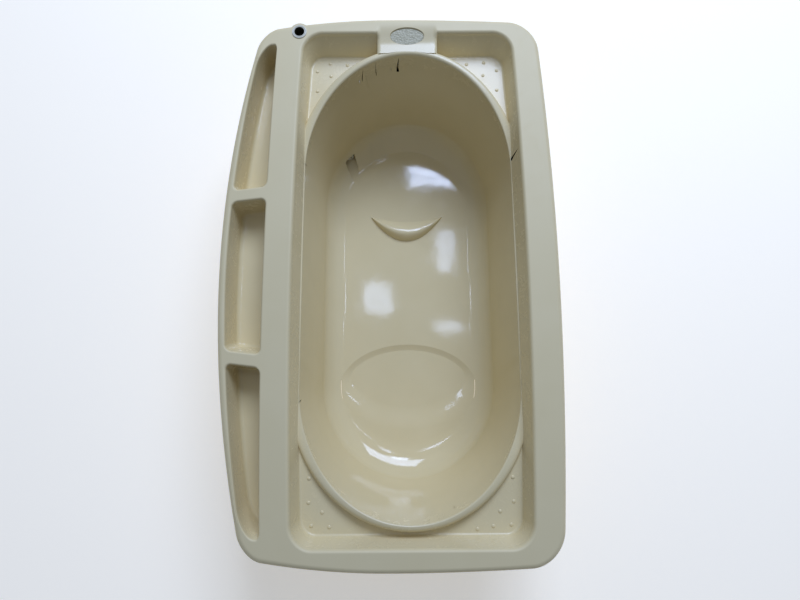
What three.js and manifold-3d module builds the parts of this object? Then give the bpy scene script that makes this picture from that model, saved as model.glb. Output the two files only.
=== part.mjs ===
// Baby bath unit for a bath stand: a one-piece moulded tub with a deep rim, three side
// pockets, an oval badge, and a drain that runs from a gully in the basin floor through a
// hose to a nozzle parked in a hole of the rim.  Millimetres, +Z up, +Y towards the drain
// end, +X away from the pockets.  The origin is the middle of the basin on its flat base.
import * as THREE from 'three';
import { mergeVertices } from 'three/addons/utils/BufferGeometryUtils.js';
import Module from 'manifold-3d';

const wasm = await Module();
wasm.setup();

// ---- Driving dimensions -------------------------------------------------------------
const HEIGHT = 235;                 // base to rim top
const WALL = 2.8;                   // moulded skin
const FLOOR = 6;                    // basin floor, thick enough for the seat dish
const GAP = 0.3;                    // between pieces that touch

const RIM_HALF_LENGTH = 437;        // rim, middle of the object to each end
const RIM_END_WIDTH = 29;           // rim left beyond each end of the tray
const RIM_SIDE_WIDTH = 50;          // rim left beside the tray on the plain side
const RIM_BOW_RIGHT = 17;           // how far the long sides fall in at the corners
const RIM_BOW_LEFT = 52;
const RIM_END_BOW_RIGHT = 8;        // how far the ends fall in at the corners
const RIM_END_BOW_LEFT = 20;
const RIM_CORNER_RIGHT = 50;
const RIM_CORNER_LEFT = 36;
const SKIRT_DEPTH = 32;             // turned-down edge of the rim
const RIM_ROUNDING = 7;             // soft outer edge of the rim

const TRAY_HALF_WIDTH = 184;        // opening inside the rim at mid-length
const TRAY_CENTRE_Y = 4;
const TRAY_BOW = 10;
const TRAY_CORNER = 34;
const TRAY_SIDE_DRAFT = 8;          // lean of the tray walls over their depth
const TRAY_FAR_DRAFT = 19;
const TRAY_NEAR_DRAFT = 8;
const TRAY_EDGE = 3;                // rounding where the tray wall meets the rim
const LEDGE_DROP = 40;              // rim top to the corner ledges

const SIDE_LEDGE = 10.5;            // ledge left beside the basin, measured at the rim
const FAR_LEDGE = 37;               // ledge left beyond each end of the basin
const NEAR_LEDGE = 32;
const BASIN_STRAIGHT = 175;         // half of the straight stretch of each side
const BASIN_SIDE_LEAN = 0.094;      // inward lean of the walls per unit of height
const BASIN_FAR_LEAN = 0.16;
const BASIN_NEAR_LEAN = 0.19;
const SIDE_FILLET = 34;             // floor fillet, plan width and height
const FAR_FILLET = 48;
const NEAR_FILLET = 56;
const FILLET_HEIGHT = 36;

const LIP_FAR_HEIGHT = 32;          // raised lip at each end of the basin, above the ledge
const LIP_NEAR_HEIGHT = 22;
const LIP_WIDTH = 18;
const LIP_TIP = 0.12;               // the lip starts this angle past the straight sides
const LIP_FADE = 1.3;               // power of the sine that the lip's height follows

const PAD_HALF_WIDTH = 51;          // bridge between the far rim and the lip
const PAD_RIM = 11;                 // rim left beyond the pad's high edge
const PAD_LIP = 16;                 // from the basin edge to the pad's low edge
const PAD_DROP_RIM = 0.3;           // pad top below the rim at its high edge
const PAD_DROP_LIP = 8;             // pad top below the rim at its low edge
const PAD_THICK = 6;                // under the part that dips into the rim
const PAD_SIDE_WIDTH = 4;           // sloping long edges of the pad
const PAD_SIDE_DROP = 6;
const BADGE_FROM_RIM = 31.5;        // badge middle, from the far edge of the rim
const BADGE_HALF_WIDTH = 28;
const BADGE_HALF_LENGTH = 13;
const BADGE_THICKNESS = 1.8;
const BADGE_RECESS = 2.6;

const POCKET_DEPTH = 55;
const POCKET_WIDTH = 59;            // at the middle pocket, from the bar to the outer rim
const POCKET_SIDE = 11;             // rim left outside the pockets
const BAR_WIDTH = 42;               // flat bar between the tray and the pockets
const DIVIDER = 17.5;               // between neighbouring pockets
const MIDDLE_POCKET_FAR = 121;      // reach of the middle pocket each way
const MIDDLE_POCKET_NEAR = 128.5;
const POCKET_DRAFT = 4;
const POCKET_FOOT_WIDTH = 4;        // slope between the pocket's wall and its floor
const POCKET_FOOT_HEIGHT = 6;
const POCKET_MOUTH_WIDTH = 1.5;     // slope between the wall and the rim
const POCKET_MOUTH_DEPTH = 2;
const POCKET_END = 47;              // rim left beyond the end pockets
const POCKET_CORNER = 11;
const POCKET_TIP_CORNER = 42;       // sweep of the end pockets' outer corner

const SEAT_FROM_NEAR = 194;         // middle of the shallow seat dish, from the near edge
const SEAT_HALF_WIDTH = 131;
const SEAT_HALF_LENGTH = 82;
const SEAT_DEPTH = 3;
const SEAT_EDGE = 9;                // width of the dish's sloping edge

const STOP_HALF_WIDTH = 73;         // raised crescent across the floor
const STOP_FROM_FAR = 262;          // near edge of the crescent, from the far edge
const STOP_CURVE = 52;              // how far the tips lie beyond the middle
const STOP_THICKNESS = 40;
const STOP_HEIGHT = 10;
const STOP_TIP = 0.97;              // share of the half width where the tips are cut square

const GULLY_FROM_SIDE = 78.5;       // narrow end of the drain gully, from the basin edges
const GULLY_FROM_FAR = 156;
const GULLY_TURN = 17 * Math.PI / 180;
const GULLY_LENGTH = 78;
const GULLY_FLARE = 52;
const GULLY_TIP = 2;
const GULLY_SIDE_ROOM = 1.5;        // around the outlet's flange
const GULLY_HEAD_ROOM = 0.5;

const SPIGOT_RADIUS = 6.5;          // outlet tube and everything on it
const SPIGOT_WALL = 1.9;
const SPIGOT_FLANGE_LIP = 3;        // flange beyond the tube
const SPIGOT_FLANGE_THICK = 2.4;
const SPIGOT_TAIL = 33;             // reach beyond the outside of the gully wall
const SEAL_THICK = 1.5;
const NUT_WALL = 3.7;               // at the flats
const NUT_THICK = 6;
const HOSE_WALL = 2;
const HOSE_GRIP = 22;               // length of hose on the spigot
const HOSE_SIDES = 12;
const HOSE_LEAD = 2;                // straight hose beyond the spigot
const BEND_PULL = 0.55;             // handle length of the bend, as a share of its height
const HOSE_BEND = 92;               // height of the hose's one bend
const CLAMP_WALL = 1.6;
const CLAMP_WIDTH = 9;
const SCREW_BLOCK_WIDTH = 6;
const SCREW_BLOCK_LENGTH = 11;
const CLAMP_FROM_END = 7;           // from the hose's end to the clamp

const PORT_TURN = 138.15 * Math.PI / 180;  // parking hole, seen from the tray's corner centre
const PORT_EDGE = 1;                // rim left between the bush and the tray's edge
const PORT_BOSS_WALL = 5;
const PORT_BOSS_DEPTH = 6;
const PORT_GUIDE = 8;               // depth of the bush's hole; the room below it is wider
const BUSH_BORE = 10.1;
const BUSH_WALL = 1.1;
const BUSH_FLANGE_LIP = 1;
const BUSH_FLANGE_THICK = 1.4;
const BUSH_LENGTH = 13;
const NOZZLE_WALL = 1.6;
const NOZZLE_SHOULDER_LIP = 1.6;    // shoulder beyond the part that passes the bush
const NOZZLE_SHOULDER_THICK = 3;
const NOZZLE_TAIL = 24;
const NOZZLE_PLAY = 2;              // from the bush down to the nozzle's shoulder
const TUCK = 0.5;                   // how far a shell stops short of the face it runs into

// ---- Worked out from them ------------------------------------------------------------
const RIM_TOP = HEIGHT;
const LEDGE = HEIGHT - LEDGE_DROP;
const RIM_RIGHT = TRAY_HALF_WIDTH + RIM_SIDE_WIDTH;
const RIM_LEFT = TRAY_HALF_WIDTH + BAR_WIDTH + POCKET_WIDTH + POCKET_SIDE;
const TRAY_HALF_LENGTH = RIM_HALF_LENGTH - RIM_END_WIDTH;
const BASIN_HALF_WIDTH = TRAY_HALF_WIDTH - SIDE_LEDGE;
const BASIN_FAR = TRAY_HALF_LENGTH + TRAY_CENTRE_Y - FAR_LEDGE;
const BASIN_NEAR = TRAY_HALF_LENGTH - TRAY_CENTRE_Y - NEAR_LEDGE;
const POCKET_TIP = RIM_HALF_LENGTH - POCKET_END;
const SEAT_Y = SEAT_FROM_NEAR - BASIN_NEAR;
const STOP_Y = BASIN_FAR - STOP_FROM_FAR;
const GULLY_START = [GULLY_FROM_SIDE - BASIN_HALF_WIDTH, BASIN_FAR - GULLY_FROM_FAR];
const SPIGOT_BORE = SPIGOT_RADIUS - SPIGOT_WALL;
const SPIGOT_FLANGE = SPIGOT_RADIUS + SPIGOT_FLANGE_LIP;
const GULLY_HALF_WIDTH = SPIGOT_FLANGE + GULLY_SIDE_ROOM;
const GULLY_HEIGHT = 2 * (SPIGOT_FLANGE + GULLY_HEAD_ROOM);
const NUT_BORE = SPIGOT_RADIUS + GAP;
const NUT_ACROSS_FLATS = 2 * (NUT_BORE + NUT_WALL);
const HOSE_INNER = SPIGOT_RADIUS + GAP;
const HOSE_OUTER = HOSE_INNER + HOSE_WALL;
const BUSH_BODY = BUSH_BORE + BUSH_WALL;
const BUSH_FLANGE = BUSH_BODY + BUSH_FLANGE_LIP;
const PORT_BOSS = BUSH_BODY + GAP + PORT_BOSS_WALL;
const NOZZLE_RADIUS = BUSH_BORE - GAP;
const NOZZLE_BORE = NOZZLE_RADIUS - NOZZLE_WALL;
const NOZZLE_SHOULDER = NOZZLE_RADIUS + NOZZLE_SHOULDER_LIP;

// Middle of the parking hole, on a line from the centre of the tray's far left corner.
const cornerAlong = TRAY_HALF_LENGTH - TRAY_CORNER;
const cornerBow = 1 - TRAY_BOW / TRAY_HALF_WIDTH * (cornerAlong / TRAY_HALF_LENGTH) ** 2;
const portReach = TRAY_CORNER + TRAY_EDGE + PORT_EDGE + BUSH_FLANGE;
const PORT = [
  (TRAY_CORNER - TRAY_HALF_WIDTH) * cornerBow + portReach * Math.cos(PORT_TURN),
  TRAY_CENTRE_Y + cornerAlong + portReach * Math.sin(PORT_TURN),
];

// ---- Outlines ------------------------------------------------------------------------
const mix = (a, b, t) => a + (b - a) * t;

// Corner-rounded box outline, anticlockwise; radii run from the +X +Y corner round.
function roundedBox(x0, x1, y0, y1, radii, sideSteps, cornerSteps) {
  const points = [];
  const corners = [[x1, y1, 0], [x0, y1, 1], [x0, y0, 2], [x1, y0, 3]];
  corners.forEach(([x, y, turn], index) => {
    const radius = radii[index];
    const cx = x - Math.sign(x - (x0 + x1) / 2) * radius;
    const cy = y - Math.sign(y - (y0 + y1) / 2) * radius;
    for (let step = 0; step <= cornerSteps; step += 1) {
      const angle = (turn + step / cornerSteps) * Math.PI / 2;
      points.push([cx + radius * Math.cos(angle), cy + radius * Math.sin(angle)]);
    }
    const next = corners[(index + 1) % 4];
    const nextRadius = radii[(index + 1) % 4];
    const nextAngle = (turn + 1) * Math.PI / 2;
    const ncx = next[0] - Math.sign(next[0] - (x0 + x1) / 2) * nextRadius;
    const ncy = next[1] - Math.sign(next[1] - (y0 + y1) / 2) * nextRadius;
    const end = [ncx + nextRadius * Math.cos(nextAngle), ncy + nextRadius * Math.sin(nextAngle)];
    const start = points[points.length - 1];
    for (let step = 1; step < sideSteps; step += 1) {
      points.push([mix(start[0], end[0], step / sideSteps), mix(start[1], end[1], step / sideSteps)]);
    }
  });
  return points;
}

// Rim outline, moved inwards by inset: long sides and ends are gentle bows.
function rimOutline(inset) {
  const right = RIM_RIGHT - inset;
  const left = RIM_LEFT - inset;
  const end = RIM_HALF_LENGTH - inset;
  const cornerR = Math.max(RIM_CORNER_RIGHT - inset, 4);
  const cornerL = Math.max(RIM_CORNER_LEFT - inset, 4);
  const box = roundedBox(-left, right, -end, end, [cornerR, cornerL, cornerL, cornerR], 10, 7);
  const middle = (right - left) / 2;
  const half = (right + left) / 2;
  return box.map(([x, y]) => {
    const across = (x - middle) / half;
    const along = y / end;
    const sideBow = across < 0 ? RIM_BOW_LEFT : RIM_BOW_RIGHT;
    const endBow = across < 0 ? RIM_END_BOW_LEFT : RIM_END_BOW_RIGHT;
    return [x - across * sideBow * along ** 2, y - along * endBow * across ** 2];
  });
}

// Reach of the rim on the pocket side at a given y.
function rimLeftAt(y) {
  return -RIM_LEFT + RIM_BOW_LEFT * (y / RIM_HALF_LENGTH) ** 2;
}

// Tray outline; grow moves it outwards, and sunk goes from 0 at the rim to 1 at the ledge.
function trayOutline(grow, sunk) {
  const half = TRAY_HALF_WIDTH + grow - TRAY_SIDE_DRAFT * sunk;
  const far = TRAY_HALF_LENGTH + grow - TRAY_FAR_DRAFT * sunk;
  const near = TRAY_HALF_LENGTH + grow - TRAY_NEAR_DRAFT * sunk;
  const corner = Math.max(TRAY_CORNER + grow - TRAY_SIDE_DRAFT * sunk, 6);
  const radii = [corner, corner, corner, corner];
  return roundedBox(-half, half, -near, far, radii, 8, 6).map(([x, y]) => {
    const along = y / TRAY_HALF_LENGTH;
    return [x * (1 - TRAY_BOW / half * along ** 2), y + TRAY_CENTRE_Y];
  });
}

// Tray edge on the pocket side at a given y.
function trayLeftAt(y) {
  return -TRAY_HALF_WIDTH + TRAY_BOW * ((y - TRAY_CENTRE_Y) / TRAY_HALF_LENGTH) ** 2;
}

// How far the basin wall has come in at a height above the floor.
function basinInset(height, lean, fillet) {
  const leaned = (LEDGE - FLOOR - height) * lean;
  const below = Math.max(0, 1 - height / FILLET_HEIGHT);
  return leaned + fillet * (1 - Math.sqrt(1 - below ** 2));
}

// Basin outline at a height above the floor: straight sides and half-ellipse ends.
function basinOutline(height, grow) {
  const half = BASIN_HALF_WIDTH - basinInset(height, BASIN_SIDE_LEAN, SIDE_FILLET) + grow;
  const far = BASIN_FAR - basinInset(height, BASIN_FAR_LEAN, FAR_FILLET) + grow;
  const near = BASIN_NEAR - basinInset(height, BASIN_NEAR_LEAN, NEAR_FILLET) + grow;
  const points = [];
  const endSteps = 26;
  const sideSteps = 5;
  for (const [sign, reach] of [[1, far], [-1, near]]) {
    for (let step = 0; step <= endSteps; step += 1) {
      const angle = step / endSteps * Math.PI;
      const bulge = (reach - BASIN_STRAIGHT) * Math.sin(angle);
      points.push([sign * half * Math.cos(angle), sign * (BASIN_STRAIGHT + bulge)]);
    }
    for (let step = 1; step < sideSteps; step += 1) {
      points.push([-sign * half, sign * mix(BASIN_STRAIGHT, -BASIN_STRAIGHT, step / sideSteps)]);
    }
  }
  return points;
}

// Pocket outline between two y values, narrowed by inset on every side.  The outer corner
// at a tip of the rim has a long sweep.
function pocketOutline(y0, y1, inset) {
  const corner = Math.max(POCKET_CORNER - inset, 3);
  const tipCorner = Math.max(POCKET_TIP_CORNER - inset, 3);
  const farOuter = y1 === POCKET_TIP ? tipCorner : corner;
  const nearOuter = y0 === -POCKET_TIP ? tipCorner : corner;
  const radii = [corner, farOuter, nearOuter, corner];
  const box = roundedBox(inset, POCKET_WIDTH - inset, y0 + inset, y1 - inset, radii, 7, 4);
  return box.map(([u, y]) => {
    const outer = rimLeftAt(y) + POCKET_SIDE;
    const inner = trayLeftAt(y) - BAR_WIDTH;
    return [mix(outer, inner, u / POCKET_WIDTH), y];
  });
}

function ellipseOutline(x, y, halfWidth, halfLength, steps) {
  return Array.from({ length: steps }, (_, step) => {
    const angle = step / steps * Math.PI * 2;
    return [x + halfWidth * Math.cos(angle), y + halfLength * Math.sin(angle)];
  });
}

// ---- Solids --------------------------------------------------------------------------
function solidFrom(positions, triangles) {
  const mesh = new wasm.Mesh({
    numProp: 3,
    vertProperties: new Float32Array(positions),
    triVerts: new Uint32Array(triangles),
  });
  return new wasm.Manifold(mesh);
}

// Closed solid through a stack of outlines, lowest first, each [outline, z].
function loft(levels) {
  const count = levels[0][0].length;
  const positions = [];
  const triangles = [];
  levels.forEach(([outline, z]) => {
    outline.forEach(([x, y]) => positions.push(x, y, z));
  });
  for (let level = 0; level < levels.length - 1; level += 1) {
    for (let i = 0; i < count; i += 1) {
      const a = level * count + i;
      const b = level * count + (i + 1) % count;
      triangles.push(a, b, b + count, a, b + count, a + count);
    }
  }
  const cap = (outline, base, flip) => {
    const contour = outline.map(([x, y]) => new THREE.Vector2(x, y));
    THREE.ShapeUtils.triangulateShape(contour, []).forEach(([a, b, c]) => {
      triangles.push(base + a, base + (flip ? c : b), base + (flip ? b : c));
    });
  };
  cap(levels[0][0], 0, true);
  cap(levels[levels.length - 1][0], (levels.length - 1) * count, false);
  return solidFrom(positions, triangles);
}

// Closed solid through a row of sections with the same number of points, capped by fans.
function sweep(sections) {
  const count = sections[0].length;
  const positions = sections.flat(2);
  const triangles = [];
  for (let row = 0; row < sections.length - 1; row += 1) {
    for (let i = 0; i < count; i += 1) {
      const a = row * count + i;
      const b = row * count + (i + 1) % count;
      triangles.push(a, b, b + count, a, b + count, a + count);
    }
  }
  const last = (sections.length - 1) * count;
  for (let i = 1; i < count - 1; i += 1) {
    triangles.push(0, i + 1, i);
    triangles.push(last, last + i, last + i + 1);
  }
  return solidFrom(positions, triangles);
}

function solidOf(geometry) {
  const bare = new THREE.BufferGeometry();
  const source = geometry.index ? geometry.toNonIndexed() : geometry;
  bare.setAttribute('position', source.getAttribute('position'));
  const merged = mergeVertices(bare, 1e-4);
  return solidFrom(merged.getAttribute('position').array, dropFlat(merged.index.array));
}

// Leaves out the empty triangles that a lathe makes where its profile meets the axis.
function dropFlat(index) {
  const kept = [];
  for (let i = 0; i < index.length; i += 3) {
    const [a, b, c] = [index[i], index[i + 1], index[i + 2]];
    if (a !== b && b !== c && a !== c) {
      kept.push(a, b, c);
    }
  }
  return kept;
}

function geometryOf(solid) {
  const mesh = solid.getMesh();
  const geometry = new THREE.BufferGeometry();
  const positions = new Float32Array(mesh.numVert * 3);
  for (let i = 0; i < mesh.numVert; i += 1) {
    for (let axis = 0; axis < 3; axis += 1) {
      positions[i * 3 + axis] = mesh.vertProperties[i * mesh.numProp + axis];
    }
  }
  geometry.setAttribute('position', new THREE.BufferAttribute(positions, 3));
  geometry.setIndex(Array.from(mesh.triVerts));
  geometry.computeVertexNormals();
  return geometry;
}

// Ring or tube about +Z from a closed profile of [radius, z].
function turned(profile, steps) {
  const points = [...profile, profile[0]].map(([radius, z]) => new THREE.Vector2(radius, z));
  const geometry = new THREE.LatheGeometry(points, steps);
  geometry.rotateX(Math.PI / 2);
  return geometry;
}

function tubeProfile(inner, outer, z0, z1) {
  return [[inner, z0], [outer, z0], [outer, z1], [inner, z1]];
}

const joined = (solids) => solids.reduce((all, solid) => all.add(solid));

// ---- Drain line ----------------------------------------------------------------------
const gullyDir = new THREE.Vector3(-Math.sin(GULLY_TURN), Math.cos(GULLY_TURN), 0);
const gullySide = new THREE.Vector3(Math.cos(GULLY_TURN), Math.sin(GULLY_TURN), 0);
const drainHeight = FLOOR + GULLY_HEIGHT / 2;

// Point on the drain line at a distance from the narrow end of the gully.
function onDrain(distance, side = 0, height = drainHeight) {
  return new THREE.Vector3(GULLY_START[0], GULLY_START[1], height)
    .addScaledVector(gullyDir, distance)
    .addScaledVector(gullySide, side);
}

// Lays a turned piece, made about +Z, along the drain line.
function alongDrain(geometry, distance) {
  const turn = new THREE.Quaternion().setFromUnitVectors(new THREE.Vector3(0, 0, 1), gullyDir);
  geometry.applyQuaternion(turn);
  geometry.translate(...onDrain(distance).toArray());
  return geometry;
}

function gullyOutline(grow) {
  const stations = [
    [-grow, GULLY_TIP + grow],
    [GULLY_FLARE, GULLY_HALF_WIDTH + grow],
    [GULLY_LENGTH + grow, GULLY_HALF_WIDTH + grow],
  ];
  const rightSide = stations.map(([along, side]) => onDrain(along, side));
  const leftSide = stations.map(([along, side]) => onDrain(along, -side)).reverse();
  return [...rightSide, ...leftSide].map((point) => [point.x, point.y]);
}

// ---- The moulding --------------------------------------------------------------------
function rimSlab() {
  const rounding = RIM_ROUNDING;
  return loft([
    [rimOutline(0), RIM_TOP - SKIRT_DEPTH],
    [rimOutline(0), RIM_TOP - rounding],
    [rimOutline(rounding * 0.3), RIM_TOP - rounding * 0.3],
    [rimOutline(rounding), RIM_TOP],
  ]);
}

function rimUnderside() {
  return loft([
    [rimOutline(WALL), RIM_TOP - SKIRT_DEPTH - 1],
    [rimOutline(WALL), RIM_TOP - RIM_ROUNDING],
    [rimOutline(RIM_ROUNDING), RIM_TOP - WALL],
  ]);
}

function traySolid(grow, bottom, top) {
  return loft([
    [trayOutline(grow, 1), bottom],
    [trayOutline(grow, 0), RIM_TOP - TRAY_EDGE],
    [trayOutline(grow + TRAY_EDGE, 0), top],
  ]);
}

function basinSolid(grow, bottom, top) {
  const shares = [0.06, 0.18, 0.38, 0.66];
  const levels = [[basinOutline(0, grow), bottom]];
  if (bottom < FLOOR) {
    levels.push([basinOutline(0, grow), FLOOR - grow]);
  }
  shares.forEach((share) => {
    levels.push([basinOutline(share * FILLET_HEIGHT, grow), FLOOR + share * FILLET_HEIGHT]);
  });
  levels.push([basinOutline(FILLET_HEIGHT, grow), FLOOR + FILLET_HEIGHT]);
  levels.push([basinOutline(top - FLOOR, grow), top]);
  return loft(levels);
}

function pocketSolid(y0, y1, grow, bottom, top) {
  const floor = RIM_TOP - POCKET_DEPTH;
  return loft([
    [pocketOutline(y0, y1, POCKET_DRAFT + POCKET_FOOT_WIDTH - grow), bottom],
    [pocketOutline(y0, y1, POCKET_DRAFT - grow), floor + POCKET_FOOT_HEIGHT],
    [pocketOutline(y0, y1, POCKET_MOUTH_WIDTH - grow), RIM_TOP - POCKET_MOUTH_DEPTH],
    [pocketOutline(y0, y1, -grow), top],
  ]);
}

// Raised lip round one end of the basin; it grows from nothing at the straight sides.
function lipSolid(sign, reach, height) {
  const steps = 30;
  const sections = [];
  for (let step = 0; step <= steps; step += 1) {
    const angle = mix(LIP_TIP, Math.PI - LIP_TIP, step / steps);
    const rise = height * Math.sin(angle) ** LIP_FADE;
    const spot = (grow, z) => [
      sign * (BASIN_HALF_WIDTH + grow) * Math.cos(angle),
      sign * (BASIN_STRAIGHT + (reach - BASIN_STRAIGHT + grow) * Math.sin(angle)),
      z,
    ];
    const foot = LEDGE - WALL / 2;
    sections.push([
      spot(-4, foot),
      spot(-4, LEDGE + rise * 0.97),
      spot(LIP_WIDTH * 0.45, LEDGE + rise),
      spot(LIP_WIDTH * 0.78, LEDGE + rise * 0.88),
      spot(LIP_WIDTH, LEDGE + rise * 0.35),
      spot(LIP_WIDTH + 1.5, foot),
    ]);
  }
  return sweep(sections);
}

// The pad slopes from the far rim down to the lip, and carries the badge.
const padNear = BASIN_FAR + PAD_LIP;
const padFar = RIM_HALF_LENGTH - PAD_RIM;
const padLean = Math.atan2(PAD_DROP_LIP - PAD_DROP_RIM, padFar - padNear);
const padHeight = (y) => RIM_TOP - PAD_DROP_RIM - (padFar - y) * Math.tan(padLean);
const badgeY = RIM_HALF_LENGTH - BADGE_FROM_RIM;
const badgeZ = padHeight(badgeY);
const trayFar = TRAY_CENTRE_Y + TRAY_HALF_LENGTH;

// Room above the pad where it dips into the rim.
function padCut() {
  const section = (x) => [
    [x, padNear, padHeight(padNear)],
    [x, padFar, padHeight(padFar)],
    [x, padFar, RIM_TOP + 1],
    [x, padNear, RIM_TOP + 1],
  ];
  return sweep([section(-PAD_HALF_WIDTH), section(PAD_HALF_WIDTH)]);
}

// Bridge pad, solid down to the ledge and a thick skin where it runs into the rim, before
// the badge's recess is cut.
function padSolid() {
  const section = (x, drop) => [
    [x, BASIN_FAR, padHeight(padNear) - drop],
    [x, BASIN_FAR, LEDGE - WALL / 2],
    [x, trayFar, LEDGE - WALL / 2],
    [x, trayFar, padHeight(trayFar) - PAD_THICK - drop],
    [x, padFar, padHeight(padFar) - PAD_THICK - drop],
    [x, padFar, padHeight(padFar) - drop],
    [x, padNear, padHeight(padNear) - drop],
  ];
  return sweep([
    section(-PAD_HALF_WIDTH, PAD_SIDE_DROP),
    section(-PAD_HALF_WIDTH + PAD_SIDE_WIDTH, 0),
    section(PAD_HALF_WIDTH - PAD_SIDE_WIDTH, 0),
    section(PAD_HALF_WIDTH, PAD_SIDE_DROP),
  ]);
}

// Oval prism on the sloping pad, between two depths below its surface.
function ovalOnPad(halfWidth, halfLength, above, below) {
  const outline = ellipseOutline(0, 0, halfWidth, halfLength, 28);
  const levels = [below, above].map((z) => outline.map(([x, y]) => {
    const point = new THREE.Vector3(x, y, z).applyAxisAngle(new THREE.Vector3(1, 0, 0), padLean);
    return [point.x, point.y + badgeY, point.z + badgeZ];
  }));
  return sweep(levels);
}

// Raised crescent across the basin floor.
function stopSolid() {
  const steps = 10;
  const ring = (spread, thin) => {
    const nearEdge = [];
    const farEdge = [];
    for (let step = 0; step <= steps; step += 1) {
      const t = mix(-STOP_TIP, STOP_TIP, step / steps);
      const middle = STOP_Y + STOP_THICKNESS / 2 + (STOP_CURVE - STOP_THICKNESS / 2) * t ** 2;
      const half = STOP_THICKNESS / 2 * (1 - t ** 2) * thin;
      nearEdge.push([STOP_HALF_WIDTH * t * spread, middle - half]);
      farEdge.push([STOP_HALF_WIDTH * t * spread, middle + half]);
    }
    return [...nearEdge, ...farEdge.reverse()];
  };
  return loft([
    [ring(1, 1), FLOOR - 1],
    [ring(0.97, 0.9), FLOOR + STOP_HEIGHT * 0.4],
    [ring(0.9, 0.66), FLOOR + STOP_HEIGHT * 0.85],
    [ring(0.8, 0.35), FLOOR + STOP_HEIGHT],
  ]);
}

const pockets = [
  [MIDDLE_POCKET_FAR + DIVIDER, POCKET_TIP],
  [-MIDDLE_POCKET_NEAR, MIDDLE_POCKET_FAR],
  [-POCKET_TIP, -MIDDLE_POCKET_NEAR - DIVIDER],
];

function portCylinder(radius, z0, z1) {
  return loft([
    [ellipseOutline(PORT[0], PORT[1], radius, radius, 28), z0],
    [ellipseOutline(PORT[0], PORT[1], radius, radius, 28), z1],
  ]);
}

// Room for the nozzle, its clamp and the bush below the rim, cut into the skirt if it is near.
const portRoom = Math.max(NOZZLE_SHOULDER, HOSE_OUTER + GAP + CLAMP_WALL) + GAP;
const portBossFoot = RIM_TOP - PORT_GUIDE;

function bathMoulding() {
  const trayFloor = LEDGE - WALL;
  const pocketFloor = RIM_TOP - POCKET_DEPTH;
  const above = RIM_TOP + 2;
  const shells = joined([
    traySolid(WALL, trayFloor, RIM_TOP - TUCK),
    ...pockets.map(([y0, y1]) => pocketSolid(y0, y1, WALL, pocketFloor - WALL, RIM_TOP - TUCK)),
    portCylinder(PORT_BOSS, RIM_TOP - PORT_BOSS_DEPTH, RIM_TOP - TUCK),
  ]);
  const basinShell = basinSolid(WALL, 0, LEDGE);
  const gullyBoss = loft([[gullyOutline(WALL), 0], [gullyOutline(WALL), FLOOR + GULLY_HEIGHT + WALL]]);
  const rimShell = rimSlab().subtract(rimUnderside());
  const solid = joined([rimShell, shells, basinShell, gullyBoss]);
  const seatOval = (inset) => ellipseOutline(
    0, SEAT_Y, SEAT_HALF_WIDTH - inset, SEAT_HALF_LENGTH - inset, 40,
  );
  const seatDish = loft([
    [seatOval(SEAT_EDGE), FLOOR - SEAT_DEPTH],
    [seatOval(0), FLOOR],
    [seatOval(0), FLOOR + 1],
  ]);
  const holeLength = 4 * WALL;
  const spigotHole = solidOf(alongDrain(
    turned([
      [0, 0],
      [SPIGOT_RADIUS + GAP, 0],
      [SPIGOT_RADIUS + GAP, holeLength],
      [0, holeLength],
    ], 24),
    GULLY_LENGTH - WALL,
  ));
  const basinHollow = basinSolid(0, FLOOR, LEDGE).add(loft([
    [basinOutline(LEDGE - FLOOR, 0), LEDGE],
    [basinOutline(RIM_TOP - FLOOR, 0), RIM_TOP],
  ]));
  return solid
    .subtract(traySolid(0, LEDGE, above).add(padCut()))
    .add(joined([
      lipSolid(1, BASIN_FAR, LIP_FAR_HEIGHT),
      lipSolid(-1, BASIN_NEAR, LIP_NEAR_HEIGHT),
      padSolid(),
    ]))
    .subtract(basinHollow)
    .add(stopSolid())
    .subtract(joined([
      seatDish,
      loft([[gullyOutline(0), FLOOR], [gullyOutline(0), FLOOR + GULLY_HEIGHT]]),
      spigotHole,
      ...pockets.map(([y0, y1]) => pocketSolid(y0, y1, 0, pocketFloor, above)),
      portCylinder(BUSH_BODY + GAP, portBossFoot, above),
      portCylinder(portRoom, RIM_TOP - SKIRT_DEPTH - 1, portBossFoot),
      ovalOnPad(BADGE_HALF_WIDTH + GAP, BADGE_HALF_LENGTH + GAP, 4, -BADGE_RECESS),
    ]));
}

// ---- Drain fittings ------------------------------------------------------------------
const flangeInner = GULLY_LENGTH - SEAL_THICK - 2 * GAP - SPIGOT_FLANGE_THICK;
const wallOuter = GULLY_LENGTH + WALL;
const spigotEnd = wallOuter + SPIGOT_TAIL;
const hoseStart = spigotEnd - HOSE_GRIP;

function outletSpigot() {
  const flange = SPIGOT_FLANGE_THICK;
  const length = spigotEnd - flangeInner;
  return alongDrain(turned([
    [SPIGOT_BORE, 0],
    [SPIGOT_FLANGE, 0],
    [SPIGOT_FLANGE, flange],
    [SPIGOT_RADIUS, flange],
    [SPIGOT_RADIUS, length - 3],
    [SPIGOT_RADIUS - 1, length],
    [SPIGOT_BORE, length],
  ], 24), flangeInner);
}

function outletSeal() {
  const start = GULLY_LENGTH - SEAL_THICK - GAP;
  const profile = tubeProfile(SPIGOT_RADIUS + GAP, SPIGOT_FLANGE - 0.4, 0, SEAL_THICK);
  return alongDrain(turned(profile, 24), start);
}

function lockNut() {
  const corner = NUT_ACROSS_FLATS / 2 / Math.cos(Math.PI / 6);
  const hex = solidOf(turned([[0, 0], [corner, 0], [corner, NUT_THICK], [0, NUT_THICK]], 6));
  const top = NUT_THICK + 1;
  const hole = solidOf(turned([[0, -1], [NUT_BORE, -1], [NUT_BORE, top], [0, top]], 24));
  return alongDrain(geometryOf(hex.subtract(hole)), wallOuter + GAP);
}

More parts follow.
